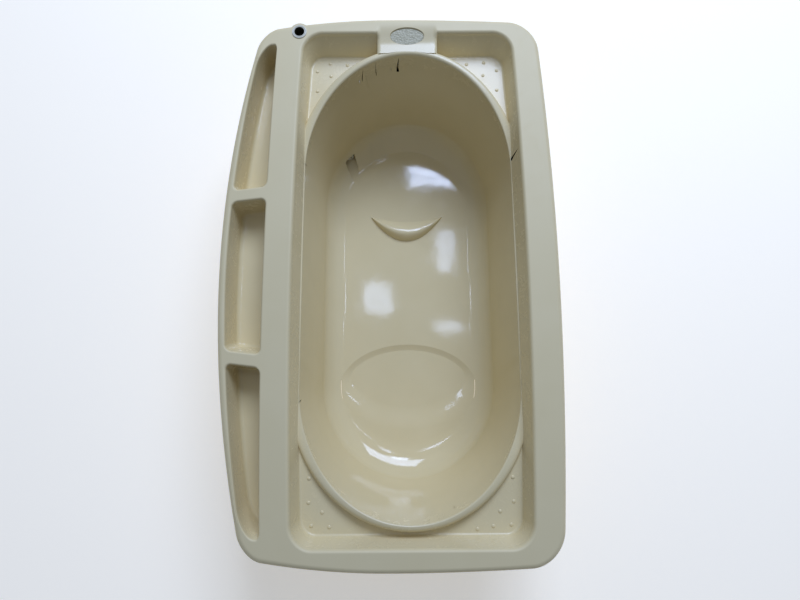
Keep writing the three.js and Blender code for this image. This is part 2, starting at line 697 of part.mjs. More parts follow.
// Band clamp with its screw block, made about +Z from z = 0.
function bandClamp() {
  const inner = HOSE_OUTER + GAP;
  const outer = inner + CLAMP_WALL;
  const band = solidOf(turned(tubeProfile(inner, outer, 0, CLAMP_WIDTH), 28));
  const block = new THREE.BoxGeometry(SCREW_BLOCK_WIDTH, SCREW_BLOCK_LENGTH, CLAMP_WIDTH - 1);
  block.translate(inner + CLAMP_WALL / 2 + SCREW_BLOCK_WIDTH / 2, 0, CLAMP_WIDTH / 2);
  return geometryOf(band.add(solidOf(block)));
}

const nozzleTop = RIM_TOP + BUSH_FLANGE_THICK + GAP;
const nozzleShoulderTop = RIM_TOP - BUSH_LENGTH - NOZZLE_PLAY;
const nozzleShoulderBottom = nozzleShoulderTop - NOZZLE_SHOULDER_THICK;
const hoseTop = nozzleShoulderBottom - GAP;

function rimBush() {
  const geometry = turned([
    [BUSH_BORE, -BUSH_LENGTH],
    [BUSH_BODY, -BUSH_LENGTH],
    [BUSH_BODY, GAP],
    [BUSH_FLANGE, GAP],
    [BUSH_FLANGE, GAP + BUSH_FLANGE_THICK - 0.4],
    [BUSH_FLANGE - 0.5, GAP + BUSH_FLANGE_THICK],
    [BUSH_BORE, GAP + BUSH_FLANGE_THICK],
  ], 28);
  geometry.translate(PORT[0], PORT[1], RIM_TOP);
  return geometry;
}

function hoseNozzle() {
  const geometry = turned([
    [SPIGOT_BORE, nozzleShoulderBottom - NOZZLE_TAIL],
    [SPIGOT_RADIUS, nozzleShoulderBottom - NOZZLE_TAIL],
    [SPIGOT_RADIUS, nozzleShoulderBottom],
    [NOZZLE_SHOULDER, nozzleShoulderBottom],
    [NOZZLE_SHOULDER, nozzleShoulderTop],
    [NOZZLE_RADIUS, nozzleShoulderTop],
    [NOZZLE_RADIUS, nozzleTop - 1],
    [NOZZLE_RADIUS - 0.8, nozzleTop],
    [NOZZLE_BORE, nozzleTop],
    [NOZZLE_BORE, nozzleShoulderTop],
    [SPIGOT_BORE, nozzleShoulderBottom],
  ], 28);
  geometry.translate(PORT[0], PORT[1], 0);
  return geometry;
}

function nozzleClamp() {
  const geometry = bandClamp();
  geometry.rotateZ(Math.PI * 1.25);
  geometry.translate(PORT[0], PORT[1], hoseTop - CLAMP_FROM_END - CLAMP_WIDTH);
  return geometry;
}

// The hose: straight on the spigot, one sweeping bend, then straight up to the nozzle.
function drainHose() {
  const bendStart = onDrain(spigotEnd + HOSE_LEAD);
  const bendEnd = new THREE.Vector3(PORT[0], PORT[1], drainHeight + HOSE_BEND);
  const path = new THREE.CurvePath();
  const top = new THREE.Vector3(PORT[0], PORT[1], hoseTop);
  path.add(new THREE.LineCurve3(onDrain(hoseStart), bendStart));
  path.add(new THREE.CubicBezierCurve3(
    bendStart,
    bendStart.clone().addScaledVector(gullyDir, HOSE_BEND * BEND_PULL),
    bendEnd.clone().add(new THREE.Vector3(0, 0, -HOSE_BEND * BEND_PULL)),
    bendEnd,
  ));
  path.add(new THREE.LineCurve3(bendEnd, top));
  const length = path.getLength();
  const steps = Math.ceil(length / (HOSE_OUTER * 0.6));
  const sides = HOSE_SIDES;
  const ring = (centre, ahead, radius) => {
    const across = new THREE.Vector3().crossVectors(ahead, gullySide).normalize();
    const side = new THREE.Vector3().crossVectors(across, ahead).normalize();
    return Array.from({ length: sides }, (_, i) => {
      const angle = i / sides * Math.PI * 2;
      return centre.clone()
        .addScaledVector(side, radius * Math.cos(angle))
        .addScaledVector(across, radius * Math.sin(angle))
        .toArray();
    });
  };
  const tube = (radius) => {
    const sections = [];
    for (let step = 0; step <= steps; step += 1) {
      sections.push(ring(path.getPointAt(step / steps), path.getTangentAt(step / steps), radius));
    }
    return sections;
  };
  const outerRings = tube(HOSE_OUTER);
  const innerRings = tube(HOSE_INNER / Math.cos(Math.PI / sides));
  const positions = [...outerRings, ...innerRings].flat(2);
  const count = steps + 1;
  const triangles = [];
  const quad = (a, b, c, d) => triangles.push(a, b, c, a, c, d);
  for (let i = 0; i < sides; i += 1) {
    const j = (i + 1) % sides;
    for (let step = 0; step < steps; step += 1) {
      const outer = step * sides;
      const inner = (count + step) * sides;
      quad(outer + i, outer + j, outer + sides + j, outer + sides + i);
      quad(inner + j, inner + i, inner + sides + i, inner + sides + j);
    }
    const lastOuter = steps * sides;
    const firstInner = count * sides;
    const lastInner = (count + steps) * sides;
    quad(j, i, firstInner + i, firstInner + j);
    quad(lastOuter + i, lastOuter + j, lastInner + j, lastInner + i);
  }
  return geometryOf(solidFrom(positions, triangles));
}

// ---- Materials and assembly ----------------------------------------------------------
const ivory = { color: 0xd9d6c4, roughness: 0.34, metalness: 0 };
const greyIvory = { color: 0xc6c2ae, roughness: 0.4, metalness: 0 };
const white = { color: 0xe6e4da, roughness: 0.35, metalness: 0 };
const rubber = { color: 0x2c2c2a, roughness: 0.8, metalness: 0 };
const hosePvc = { color: 0xcfcbb8, roughness: 0.45, metalness: 0 };
const steel = { color: 0xb9bcc0, roughness: 0.3, metalness: 0.9 };

const bath = new THREE.Group();
bath.name = 'baby_bath_unit';

function addPiece(name, geometry, look) {
  const mesh = new THREE.Mesh(geometry, new THREE.MeshStandardMaterial(look));
  mesh.name = name;
  bath.add(mesh);
}

const badge = geometryOf(ovalOnPad(
  BADGE_HALF_WIDTH, BADGE_HALF_LENGTH, GAP + BADGE_THICKNESS - BADGE_RECESS, GAP - BADGE_RECESS,
));

addPiece('bath_moulding', geometryOf(bathMoulding()), ivory);
addPiece('oval_badge', badge, greyIvory);
addPiece('rim_bush', rimBush(), white);
addPiece('outlet_spigot', outletSpigot(), white);
addPiece('outlet_seal', outletSeal(), rubber);
addPiece('outlet_lock_nut', lockNut(), white);
addPiece('drain_hose', drainHose(), hosePvc);
addPiece('hose_clamp', alongDrain(bandClamp(), hoseStart + CLAMP_FROM_END), steel);
addPiece('hose_nozzle', hoseNozzle(), white);
addPiece('nozzle_clamp', nozzleClamp(), steel);

export default bath;
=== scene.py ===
"""Baby bath unit: an ivory polypropylene tub with a deep rim, side pockets and a parked drain hose."""
import math

import bmesh
import bpy
import numpy as np
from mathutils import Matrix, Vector


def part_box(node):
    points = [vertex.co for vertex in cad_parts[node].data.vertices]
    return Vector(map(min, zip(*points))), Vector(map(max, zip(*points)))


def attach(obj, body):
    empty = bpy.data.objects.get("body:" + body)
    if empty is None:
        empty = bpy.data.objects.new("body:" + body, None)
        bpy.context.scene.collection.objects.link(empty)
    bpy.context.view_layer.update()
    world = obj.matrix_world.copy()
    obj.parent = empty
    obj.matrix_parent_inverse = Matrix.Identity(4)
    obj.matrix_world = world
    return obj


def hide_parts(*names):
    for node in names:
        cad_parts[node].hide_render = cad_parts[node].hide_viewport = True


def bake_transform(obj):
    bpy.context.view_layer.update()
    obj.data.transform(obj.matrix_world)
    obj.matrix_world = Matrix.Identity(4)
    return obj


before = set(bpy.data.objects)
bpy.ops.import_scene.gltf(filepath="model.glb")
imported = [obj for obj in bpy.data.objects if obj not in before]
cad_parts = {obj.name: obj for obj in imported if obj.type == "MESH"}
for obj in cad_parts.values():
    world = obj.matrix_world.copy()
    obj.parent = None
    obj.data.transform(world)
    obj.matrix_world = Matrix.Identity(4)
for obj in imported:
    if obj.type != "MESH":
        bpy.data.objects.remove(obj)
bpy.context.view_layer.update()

# ---- Sizes in millimetres; one function turns them to metres as it makes each mesh ----
MM = 0.001
SUN = 2 * math.pi

mould_low, mould_high = (np.array(corner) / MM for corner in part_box("bath_moulding"))
bush_low, bush_high = (np.array(corner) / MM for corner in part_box("rim_bush"))
badge_low, badge_high = (np.array(corner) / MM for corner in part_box("oval_badge"))
nozzle_low, nozzle_high = (np.array(corner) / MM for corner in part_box("hose_nozzle"))

RIM_TOP = mould_high[2]
RIM_RIGHT = mould_high[0]
RIM_LEFT = -mould_low[0]
RIM_HALF_LENGTH = mould_high[1]
PORT = (bush_low[:2] + bush_high[:2]) / 2
BADGE = (badge_low + badge_high) / 2
BUSH_FLANGE = (bush_high[0] - bush_low[0]) / 2
NOZZLE_SHOULDER = (nozzle_high[0] - nozzle_low[0]) / 2
NOZZLE_TOP = nozzle_high[2]
NOZZLE_FOOT = nozzle_low[2]

WALL = 2.8
FLOOR = 6.0
GAP = 0.3
RIM_BOW = (52.0, 17.0)          # pocket side, plain side
RIM_END_BOW = (20.0, 8.0)
RIM_CORNER = (36.0, 50.0)
RIM_ROUNDING = 8.5
SKIRT_DEPTH = 32.0

TRAY_HALF_WIDTH = 184.0
TRAY_HALF_LENGTH = 408.0
TRAY_CENTRE_Y = 4.0
TRAY_BOW = 10.0
TRAY_CORNER = 34.0
TRAY_DRAFT = (8.0, 19.0, 8.0)   # sides, far end, near end
TRAY_EDGE = 8.0                 # height of the rounded edge; it is 0.7 as wide
LEDGE = RIM_TOP - 40.0

BASIN_HALF_WIDTH = 173.5
BASIN_REACH = (375.0, 372.0)    # far, near
BASIN_STRAIGHT = 175.0
BASIN_LEAN = (0.094, 0.16, 0.19)
BASIN_FILLET = (34.0, 48.0, 56.0)
FILLET_HEIGHT = 36.0
CREASE_WIDTH = 38.0             # narrower foot of the far wall, which meets the floor in a crease
LIP_HEIGHT = (32.0, 22.0)
LIP_WIDTH = 18.0
LIP_CREST = (5.5, 2.6)          # inner rounding of the lip, far and near

PAD_HALF_WIDTH = 51.0
PAD_NEAR = BASIN_REACH[0] + 16
PAD_FAR = RIM_HALF_LENGTH - 11
PAD_DROP = 8.0                  # below the rim at the pad's low edge
PAD_THICK = 6.0
BADGE_HALF = (28.0, 13.0)

POCKET_DEPTH = 55.0
POCKET_SIDE = 11.0
BAR_WIDTH = 42.0
POCKET_TIP = RIM_HALF_LENGTH - 47
POCKETS = ((138.5, POCKET_TIP), (-128.5, 121.0), (-POCKET_TIP, -146.0))
POCKET_CORNER = 11.0
POCKET_TIP_CORNER = 42.0
DIVIDER_FAN = 7.0               # the dividers' outer ends lie this much nearer the middle

SEAT_Y = -178.0
SEAT_HALF = (131.0, 82.0)
SEAT_DEPTH = 4.6
SEAT_EDGE = (12.0, 46.0)        # width of the dish's slope at its far and near side
STOP_HALF_WIDTH = 73.0
STOP_Y = 113.0
STOP_CURVE = 52.0
STOP_THICKNESS = 41.0
STOP_HEIGHT = 15.0

GULLY_START = np.array([-95.0, 219.0])
GULLY_TURN = math.radians(17)
GULLY_LENGTH = 78.0
GULLY_FLARE = 52.0
GULLY_HALF_WIDTH = 11.0
GULLY_TIP = 2.0
GULLY_HEIGHT = 20.0
GULLY_DIR = np.array([-math.sin(GULLY_TURN), math.cos(GULLY_TURN)])
GULLY_SIDE = np.array([math.cos(GULLY_TURN), math.sin(GULLY_TURN)])
DRAIN_HEIGHT = FLOOR + GULLY_HEIGHT / 2

TUBE_RADIUS = 6.5               # outlet and nozzle tail
TUBE_BORE = 4.6
FLANGE_RADIUS = 9.5
FLANGE_THICK = 2.4
SEAL_THICK = 1.5
SPIGOT_TAIL = 33.0
NUT_THICK = 6.0
NUT_FLAT = 10.5                 # axis to a flat
HOSE_RADIUS = 8.8
HOSE_BORE = 6.8
HOSE_GRIP = 22.0
HOSE_BEND = 92.0
CLAMP_WIDTH = 9.0
CLAMP_WALL = 1.2
CLAMP_FROM_END = 7.0
BUSH_BORE = 10.1
BUSH_BODY = 11.2
BUSH_LENGTH = 13.0
NOZZLE_RADIUS = 9.8
NOZZLE_BORE = 8.2
SHOULDER_TOP = RIM_TOP - BUSH_LENGTH - 2
SHOULDER_FOOT = SHOULDER_TOP - 3
HOSE_TOP = SHOULDER_FOOT - GAP


# ---- Meshes ---------------------------------------------------------------------------
def make_object(name, points, faces, smooth_angle=35):
    """An object from an array of points in millimetres and an array or list of faces."""
    mesh = bpy.data.meshes.new(name)
    mesh.from_pydata(np.asarray(points, float) * MM, [], [tuple(face) for face in faces])
    mesh.update()
    mesh.shade_smooth()
    mesh.set_sharp_from_angle(angle=math.radians(smooth_angle))
    piece = bpy.data.objects.new(name, mesh)
    bpy.context.scene.collection.objects.link(piece)
    return piece


def grid_faces(rows, count, closed_rows=False):
    """Quads between neighbouring rings of a (rows, count) grid that closes round each ring."""
    index = np.arange(rows * count).reshape(rows, count)
    if closed_rows:
        index = np.vstack([index, index[:1]])
    here, ahead = index[:-1], index[1:]
    quads = np.stack([here, np.roll(here, -1, 1), np.roll(ahead, -1, 1), ahead], -1)
    return quads.reshape(-1, 4)


def loft(name, rings):
    """Closed solid through rings of equal count, lowest first.  Each quad is two triangles and
    each end is a fan about its middle, so that every face is flat when solids are cut."""
    rings = np.array(rings, float)
    rows, count = rings.shape[:2]
    quads = grid_faces(rows, count)
    around = np.arange(count)
    ahead = np.roll(around, -1)
    last = (rows - 1) * count
    foot = np.column_stack([ahead, around, np.full(count, rows * count)])
    top = np.column_stack([last + around, last + ahead, np.full(count, rows * count + 1)])
    faces = np.concatenate([quads[:, [0, 1, 2]], quads[:, [0, 2, 3]], foot, top])
    points = np.concatenate([rings.reshape(-1, 3), rings[[0, -1]].mean(1)])
    return make_object(name, points, faces.tolist())


def turned(name, profile, steps=72, smooth_angle=35):
    """A closed profile of (radius, height) carried once round +Z: x = r cos a, y = r sin a.
    Where the profile lies on the axis, its points are merged."""
    profile = np.array(profile, float)
    angle = np.linspace(0, SUN, steps, endpoint=False)
    radius, height = profile[:, 0], profile[:, 1]
    x = radius[None, :] * np.cos(angle)[:, None]
    y = radius[None, :] * np.sin(angle)[:, None]
    points = np.stack([x, y, np.broadcast_to(height, x.shape)], -1)
    faces = grid_faces(steps, len(profile), closed_rows=True)
    return tidy_mesh(make_object(name, points.reshape(-1, 3), faces, smooth_angle))


def tidy_mesh(piece, distance=0.002):
    """Merges points closer than distance in millimetres and turns every face outwards."""
    work = bmesh.new()
    work.from_mesh(piece.data)
    bmesh.ops.remove_doubles(work, verts=work.verts, dist=distance * MM)
    bmesh.ops.dissolve_degenerate(work, edges=work.edges, dist=distance * MM)
    bmesh.ops.recalc_face_normals(work, faces=work.faces)
    work.to_mesh(piece.data)
    work.free()
    return piece


def combine(base, parts, operation):
    """Joins closed solids to base or cuts them from it, and drops the parts."""
    for part in parts:
        step = base.modifiers.new("combine", "BOOLEAN")
        step.operation = operation
        step.solver = "MANIFOLD"
        step.object = part
    graph = bpy.context.evaluated_depsgraph_get()
    mesh = bpy.data.meshes.new_from_object(base.evaluated_get(graph))
    old = base.data
    base.modifiers.clear()
    base.data = mesh
    mesh.name = base.name
    bpy.data.meshes.remove(old)
    for part in parts:
        mesh = part.data
        bpy.data.objects.remove(part)
        bpy.data.meshes.remove(mesh)
    return base


def at_height(outline, z):
    """Lifts a plan outline to a height, which may differ from point to point."""
    z = np.broadcast_to(np.asarray(z, float), outline.shape[:1])
    return np.column_stack([outline, z])


# ---- Outlines in plan -----------------------------------------------------------------
def rounded_box(x0, x1, y0, y1, radii, side_steps, corner_steps):
    """Anticlockwise box outline; radii run round from the +X +Y corner.  Each corner is
    centre + r (cos a, sin a), and each side is spread evenly between its two corners."""
    xs, ys = np.array([x1, x0, x0, x1]), np.array([y1, y1, y0, y0])
    signs = np.array([[1, 1], [-1, 1], [-1, -1], [1, -1]])
    radii = np.array(radii)
    centres = np.column_stack([xs, ys]) - signs * radii[:, None]
    parts = []
    for k in range(4):
        angle = (k + np.linspace(0, 1, corner_steps + 1)) * math.pi / 2
        arc = centres[k] + radii[k] * np.column_stack([np.cos(angle), np.sin(angle)])
        turn = (k + 1) * math.pi / 2
        following = (k + 1) % 4
        goal = centres[following] + radii[following] * np.array([math.cos(turn), math.sin(turn)])
        share = np.linspace(0, 1, side_steps + 1)[1:-1, None]
        parts += [arc, arc[-1] + (goal - arc[-1]) * share]
    return np.concatenate(parts)


def rim_outline(inset):
    """Rim outline moved in by inset; x and y fall in by the bow times the square of the
    distance along and across the object."""
    right, left, end = RIM_RIGHT - inset, RIM_LEFT - inset, RIM_HALF_LENGTH - inset
    corner_left, corner_right = (max(corner - inset, 4) for corner in RIM_CORNER)
    radii = (corner_right, corner_left, corner_left, corner_right)
    x, y = rounded_box(-left, right, -end, end, radii, 44, 18).T
    across = (x - (right - left) / 2) / ((right + left) / 2)
    along = y / end
    side_bow = np.where(across < 0, *RIM_BOW)
    end_bow = np.where(across < 0, *RIM_END_BOW)
    return np.column_stack([x - across * side_bow * along ** 2, y - along * end_bow * across ** 2])


def rim_left_at(y):
    """Reach of the rim on the pocket side at y."""
    return -RIM_LEFT + RIM_BOW[0] * (y / RIM_HALF_LENGTH) ** 2


def tray_outline(grow, sunk):
    """Tray outline moved out by grow, at sunk of the way from the rim to the ledge."""
    half = TRAY_HALF_WIDTH + grow - TRAY_DRAFT[0] * sunk
    far = TRAY_HALF_LENGTH + grow - TRAY_DRAFT[1] * sunk
    near = TRAY_HALF_LENGTH + grow - TRAY_DRAFT[2] * sunk
    corner = max(TRAY_CORNER + grow - TRAY_DRAFT[0] * sunk, 6)
    x, y = rounded_box(-half, half, -near, far, (corner,) * 4, 44, 18).T
    bow = 1 - TRAY_BOW / half * (y / TRAY_HALF_LENGTH) ** 2
    return np.column_stack([x * bow, y + TRAY_CENTRE_Y])


def tray_left_at(y):
    """Tray edge on the pocket side at y."""
    return -TRAY_HALF_WIDTH + TRAY_BOW * ((y - TRAY_CENTRE_Y) / TRAY_HALF_LENGTH) ** 2


def smooth(value, low, high):
    """0 below low, 1 above high, and t^2 (3 - 2t) between."""
    t = np.clip((np.asarray(value, float) - low) / (high - low), 0, 1)
    return t * t * (3 - 2 * t)


def basin_reach(height, top, lean, fillet):
    """Wall position at a height above the floor: a straight lean with a round foot."""
    below = max(0.0, 1 - height / FILLET_HEIGHT)
    return top - (LEDGE - FLOOR - height) * lean - fillet * (1 - math.sqrt(1 - below ** 2))


def crease_reach(height, top, lean):
    """Wall position where the foot is a bevel, width times b^1.6, that leaves a floor crease."""
    below = max(0.0, 1 - height / FILLET_HEIGHT)
    return top - (LEDGE - FLOOR - height) * lean - CREASE_WIDTH * below ** 1.6


def basin_outline(height, grow):
    """Straight sides with half-ellipse ends: x = half cos a, y = straight + bulge sin a."""
    half = basin_reach(height, BASIN_HALF_WIDTH, BASIN_LEAN[0], BASIN_FILLET[0]) + grow
    angle = np.linspace(0, math.pi, 121)
    parts = []
    for sign, end in ((1, 0), (-1, 1)):
        reach = basin_reach(height, BASIN_REACH[end], BASIN_LEAN[end + 1], BASIN_FILLET[end + 1])
        if end == 0:
            creased = crease_reach(height, BASIN_REACH[0], BASIN_LEAN[1])
            reach = reach + (creased - reach) * smooth(np.sin(angle), 0.6, 0.78)
        bulge = (reach + grow - BASIN_STRAIGHT) * np.sin(angle)
        parts.append(sign * np.column_stack([half * np.cos(angle), BASIN_STRAIGHT + bulge]))
        y = np.linspace(BASIN_STRAIGHT, -BASIN_STRAIGHT, 42)[1:-1]
        parts.append(sign * np.column_stack([np.full_like(y, -half), y]))
    return np.concatenate(parts)


def by_end(far, near):
    """A value for each point of a basin outline: one for the far half, one for the near half."""
    return np.repeat([far, near], 121 + 40)


def lip_share():
    """How much of the lip stands at each point of a basin outline: sin a to the power 1.3."""
    end = np.sin(np.linspace(0, math.pi, 121)).clip(0) ** 1.3
    side = np.zeros(40)
    return np.concatenate([end, side, end, side])


def pocket_outline(y0, y1, inset):
    """A rounded box whose x runs between the bowed rim edge and the bowed bar edge, with a
    long sweep at the tips of the rim and dividers that fan out."""
    width = RIM_LEFT - TRAY_HALF_WIDTH - BAR_WIDTH - POCKET_SIDE
    corner = max(POCKET_CORNER - inset, 3)
    sweep = max(POCKET_TIP_CORNER - inset, 3)
    far_outer = sweep if y1 > POCKET_TIP - 20 else corner
    near_outer = sweep if y0 < 20 - POCKET_TIP else corner
    radii = (corner, far_outer, near_outer, corner)
    u, y = rounded_box(inset, width - inset, y0 + inset, y1 - inset, radii, 30, 10).T
    outer = rim_left_at(y) + POCKET_SIDE
    inner = tray_left_at(y) - BAR_WIDTH
    middle = (POCKETS[1][1] + POCKETS[0][0]) / 2
    fan = np.clip(y / middle, -1, 1) * (1 - smooth(np.abs(y), middle + 20, POCKET_TIP))
    return np.column_stack([
        outer + (inner - outer) * u / width,
        y - DIVIDER_FAN * (1 - u / width) * fan,
    ])


def ellipse(x, y, half_width, half_length, steps):
    """(x + a cos t, y + b sin t)."""
    angle = np.linspace(0, SUN, steps, endpoint=False)
    return np.column_stack([x + half_width * np.cos(angle), y + half_length * np.sin(angle)])


def quarter(steps):
    """Pairs (1 - cos t, 1 - sin t) over a quarter turn, for rounding an edge."""
    angle = np.linspace(0, math.pi / 2, steps)
    return np.column_stack([1 - np.cos(angle), 1 - np.sin(angle)])


# ---- The tub, solid by solid ----------------------------------------------------------
def rim_solid():
    """The outer block: an upright skirt and a quarter-round top edge."""
    r = RIM_ROUNDING
    bottom = RIM_TOP - SKIRT_DEPTH
    rings = [at_height(rim_outline(0.8), bottom), at_height(rim_outline(0), bottom + 0.8)]
    rings += [at_height(rim_outline(r * out), RIM_TOP - r * down) for out, down in quarter(12)]
    return loft("rim_solid", rings)


def rim_underside():
    """The hollow under the rim, one wall inside the block."""
    r = RIM_ROUNDING - WALL
    bottom = RIM_TOP - SKIRT_DEPTH - 1
    rings = [at_height(rim_outline(WALL), bottom)]
    for out, down in quarter(6):
        rings.append(at_height(rim_outline(WALL + r * out), RIM_TOP - WALL - r * down))
    return loft("rim_underside", rings)


def tray_shell():
    return loft("tray_shell", [
        at_height(tray_outline(WALL, 1), LEDGE - WALL),
        at_height(tray_outline(WALL, 0), RIM_TOP - TRAY_EDGE),
        at_height(tray_outline(WALL + 3, 0), RIM_TOP - 0.5),
    ])


def tray_void():
    """Tray space: a foot fillet, a leaning wall and a rounded top edge.  The fillet is small
    along the sides, where the ledge is only a thin strip, and larger round the ends."""
    foot = tray_outline(0, 1)
    inward = foot - tray_outline(-1, 1)
    reach = np.clip((np.abs(foot[:, 1]) - 230) / 120, 0, 1)
    radius = 1.2 + 3.3 * reach * reach * (3 - 2 * reach)
    rings = []
    for out, down in quarter(7)[::-1]:
        rings.append(at_height(foot - inward * (radius * out)[:, None], LEDGE + radius * down))
    top = RIM_TOP - TRAY_EDGE
    share = (top - LEDGE) / (RIM_TOP - LEDGE)
    for out, down in quarter(8):
        grow = TRAY_EDGE * 0.7 * out
        rings.append(at_height(tray_outline(grow, 1 - share), RIM_TOP - TRAY_EDGE * down))
    rings.append(at_height(tray_outline(TRAY_EDGE * 0.7, 1 - share), RIM_TOP + 3))
    return loft("tray_void", rings)


def basin_rings(grow, heights):
    return [at_height(basin_outline(height, grow), FLOOR + height) for height in heights]


def fillet_heights(steps):
    """Heights up the floor fillet, close together near the floor: h = H (1 - cos t)."""
    return FILLET_HEIGHT * (1 - np.cos(np.linspace(0, math.pi / 2, steps)))


def basin_shell():
    low = [at_height(basin_outline(0, WALL - 0.8), 0), at_height(basin_outline(0, WALL), 0.8)]
    rings = low + basin_rings(WALL, fillet_heights(12)[1:])
    rings += basin_rings(WALL, np.linspace(FILLET_HEIGHT, LEDGE - FLOOR, 8)[1:])
    return loft("basin_shell", rings)


def basin_void():
    """Basin space; its top edge is rounded, and follows the lip up at the two ends."""
    top = LEDGE - FLOOR
    rings = basin_rings(0, fillet_heights(18))
    rings += basin_rings(0, np.linspace(FILLET_HEIGHT, top - 12, 12)[1:])
    edge = basin_outline(top, 0)
    outward = basin_outline(top, 1) - edge
    share = lip_share()
    radius = 1.2 + (by_end(*LIP_CREST) - 1.2) * share
    rise = by_end(*LIP_HEIGHT) * share
    lean = by_end(0.0, BASIN_LEAN[2]) * share
    for out, down in quarter(10):
        drift = radius * out + (rise - radius * down) * lean
        rings.append(at_height(edge + outward * drift[:, None], LEDGE + rise - radius * down))
    rings.append(at_height(edge + outward * (radius + rise * lean)[:, None], RIM_TOP + 3))
    return loft("basin_void", rings)


def lip_solid(end):
    """Raised lip at one basin end: level as far as its inner rounding, then falling to the
    ledge as a squared ellipse, |x|^2.8 + |z|^2.8 = 1, on a small flare; its height is sin a to
    the power 1.3."""
    sign = 1 - 2 * end
    reach, crest = BASIN_REACH[end], LIP_CREST[end]
    angle = np.linspace(0.06, math.pi - 0.06, 110)
    rise = LIP_HEIGHT[end] * np.sin(angle) ** 1.3
    turn = np.linspace(0, math.radians(82), 14)
    width = LIP_WIDTH - 1.5 - crest
    squared = 2 / 2.8
    fall = crest + width * np.sin(turn) ** squared
    out = np.concatenate([[-6, -6], fall, LIP_WIDTH + np.array([-1, 0.6, 0.6])])
    up = np.concatenate([[0, 1], np.cos(turn) ** squared, [0.05, 0, 0]])
    sunk = np.concatenate([[1.5, 0], np.zeros(len(turn)), [0, 0.1, 1.5]])
    x = sign * (BASIN_HALF_WIDTH + out[None, :]) * np.cos(angle)[:, None]
    y = sign * (BASIN_STRAIGHT + (reach - BASIN_STRAIGHT + out[None, :]) * np.sin(angle)[:, None])
    z = LEDGE + rise[:, None] * up[None, :] - sunk[None, :]
    return loft("lip", np.stack([x, y, z], -1)[::-1])


def pad_height(x, y):
    """Top of the badge pad: it climbs to the rim as t^2 (3 - 2t); inside the rim its sides
    fade out, and over the tray its long edges are rounded off."""
    drop = PAD_DROP * (1 - smooth(y, PAD_NEAR, PAD_FAR))
    in_rim = smooth(y, TRAY_HALF_LENGTH - 6, TRAY_HALF_LENGTH + 6)
    aside = np.clip((np.abs(x) - PAD_HALF_WIDTH + 6) / 6, 0, 1)
    shoulder = 6 * (1 - np.sqrt(1 - aside ** 2))
    fade = 1 - smooth(np.abs(x), PAD_HALF_WIDTH - 8, PAD_HALF_WIDTH)
    return RIM_TOP - drop * (1 - in_rim + in_rim * fade) - shoulder * (1 - in_rim)


def pad_rings(near, low, high):
    """Cross-sections of the pad from near to its far end, between a low and a high surface."""
    side = PAD_HALF_WIDTH - 8 * (1 - np.cos(np.linspace(0, math.pi / 2, 9)))
    x = np.concatenate([-side, np.linspace(-side[-1], side[-1], 10)[1:-1], side[::-1]])
    rings = []
    for y in np.concatenate([[near], np.linspace(PAD_NEAR, PAD_FAR - 0.2, 20)]):
        under = np.column_stack([x, np.full_like(x, y), low(x, y)])
        over = np.column_stack([x, np.full_like(x, y), high(x, y)])[::-1]
        rings.append(np.concatenate([under, over])[::-1])
    return rings


def pad_solid():
    """Bridge between the far rim and the lip, solid down to the ledge over the tray."""
    def under(x, y):
        deep = y < TRAY_HALF_LENGTH + 2
        return np.full_like(x, LEDGE - 1.4) if deep else pad_height(x, y) - PAD_THICK
    return loft("pad", pad_rings(BASIN_REACH[0] + 2, under, pad_height))


def pad_cut():
    """Room above the pad where it dips into the rim."""
    def under(x, y):
        return pad_height(x, y) - 0.15
    return loft("pad_cut", pad_rings(PAD_NEAR - 1, under, lambda x, y: np.full_like(x, RIM_TOP + 2)))


def on_pad(outline, depth):
    """Puts a plan outline about the badge's middle on the pad, depth above the badge's seat."""
    slope = (badge_high[2] - badge_low[2] - 1.8) / (badge_high[1] - badge_low[1])
    lean = math.atan(slope)
    seat = BADGE[2] + 1.35
    x, y = outline.T
    depth = np.broadcast_to(depth, x.shape)
    return np.column_stack([
        x,
        BADGE[1] + y * math.cos(lean) - depth * math.sin(lean),
        seat + y * math.sin(lean) + depth * math.cos(lean),
    ])


def badge_recess():
    rings = []
    for grow, depth in ((0.3, -2.6), (0.3, -0.8), (0.8, -0.2), (1.4, 0.1), (1.4, 4)):
        outline = ellipse(0, 0, BADGE_HALF[0] + grow, BADGE_HALF[1] + grow, 96)
        rings.append(on_pad(outline, depth))
    return loft("badge_recess", rings)


def pocket_solid(y0, y1, grow, top):
    """A pocket's space or, grown by a wall, its shell: floor fillet, wall, rounded mouth.  The
    wall at the near end leans in by another 8 mm."""
    floor = RIM_TOP - POCKET_DEPTH - grow
    radius = 7.0 - grow
    edge = 3.4
    rings = []
    for out, down in quarter(8)[::-1]:
        outline = pocket_outline(y0 + 8, y1, 4 + radius * out - grow)
        rings.append(at_height(outline, floor + radius * down))
    for out, down in quarter(8):
        rings.append(at_height(pocket_outline(y0, y1, 1.6 - edge * out - grow), RIM_TOP - edge * down))
    rings[-1][:, 2] = RIM_TOP if grow == 0 else RIM_TOP - 0.5
    if grow == 0:
        rings.append(at_height(pocket_outline(y0, y1, 1.6 - edge), top))
    return loft("pocket", rings)


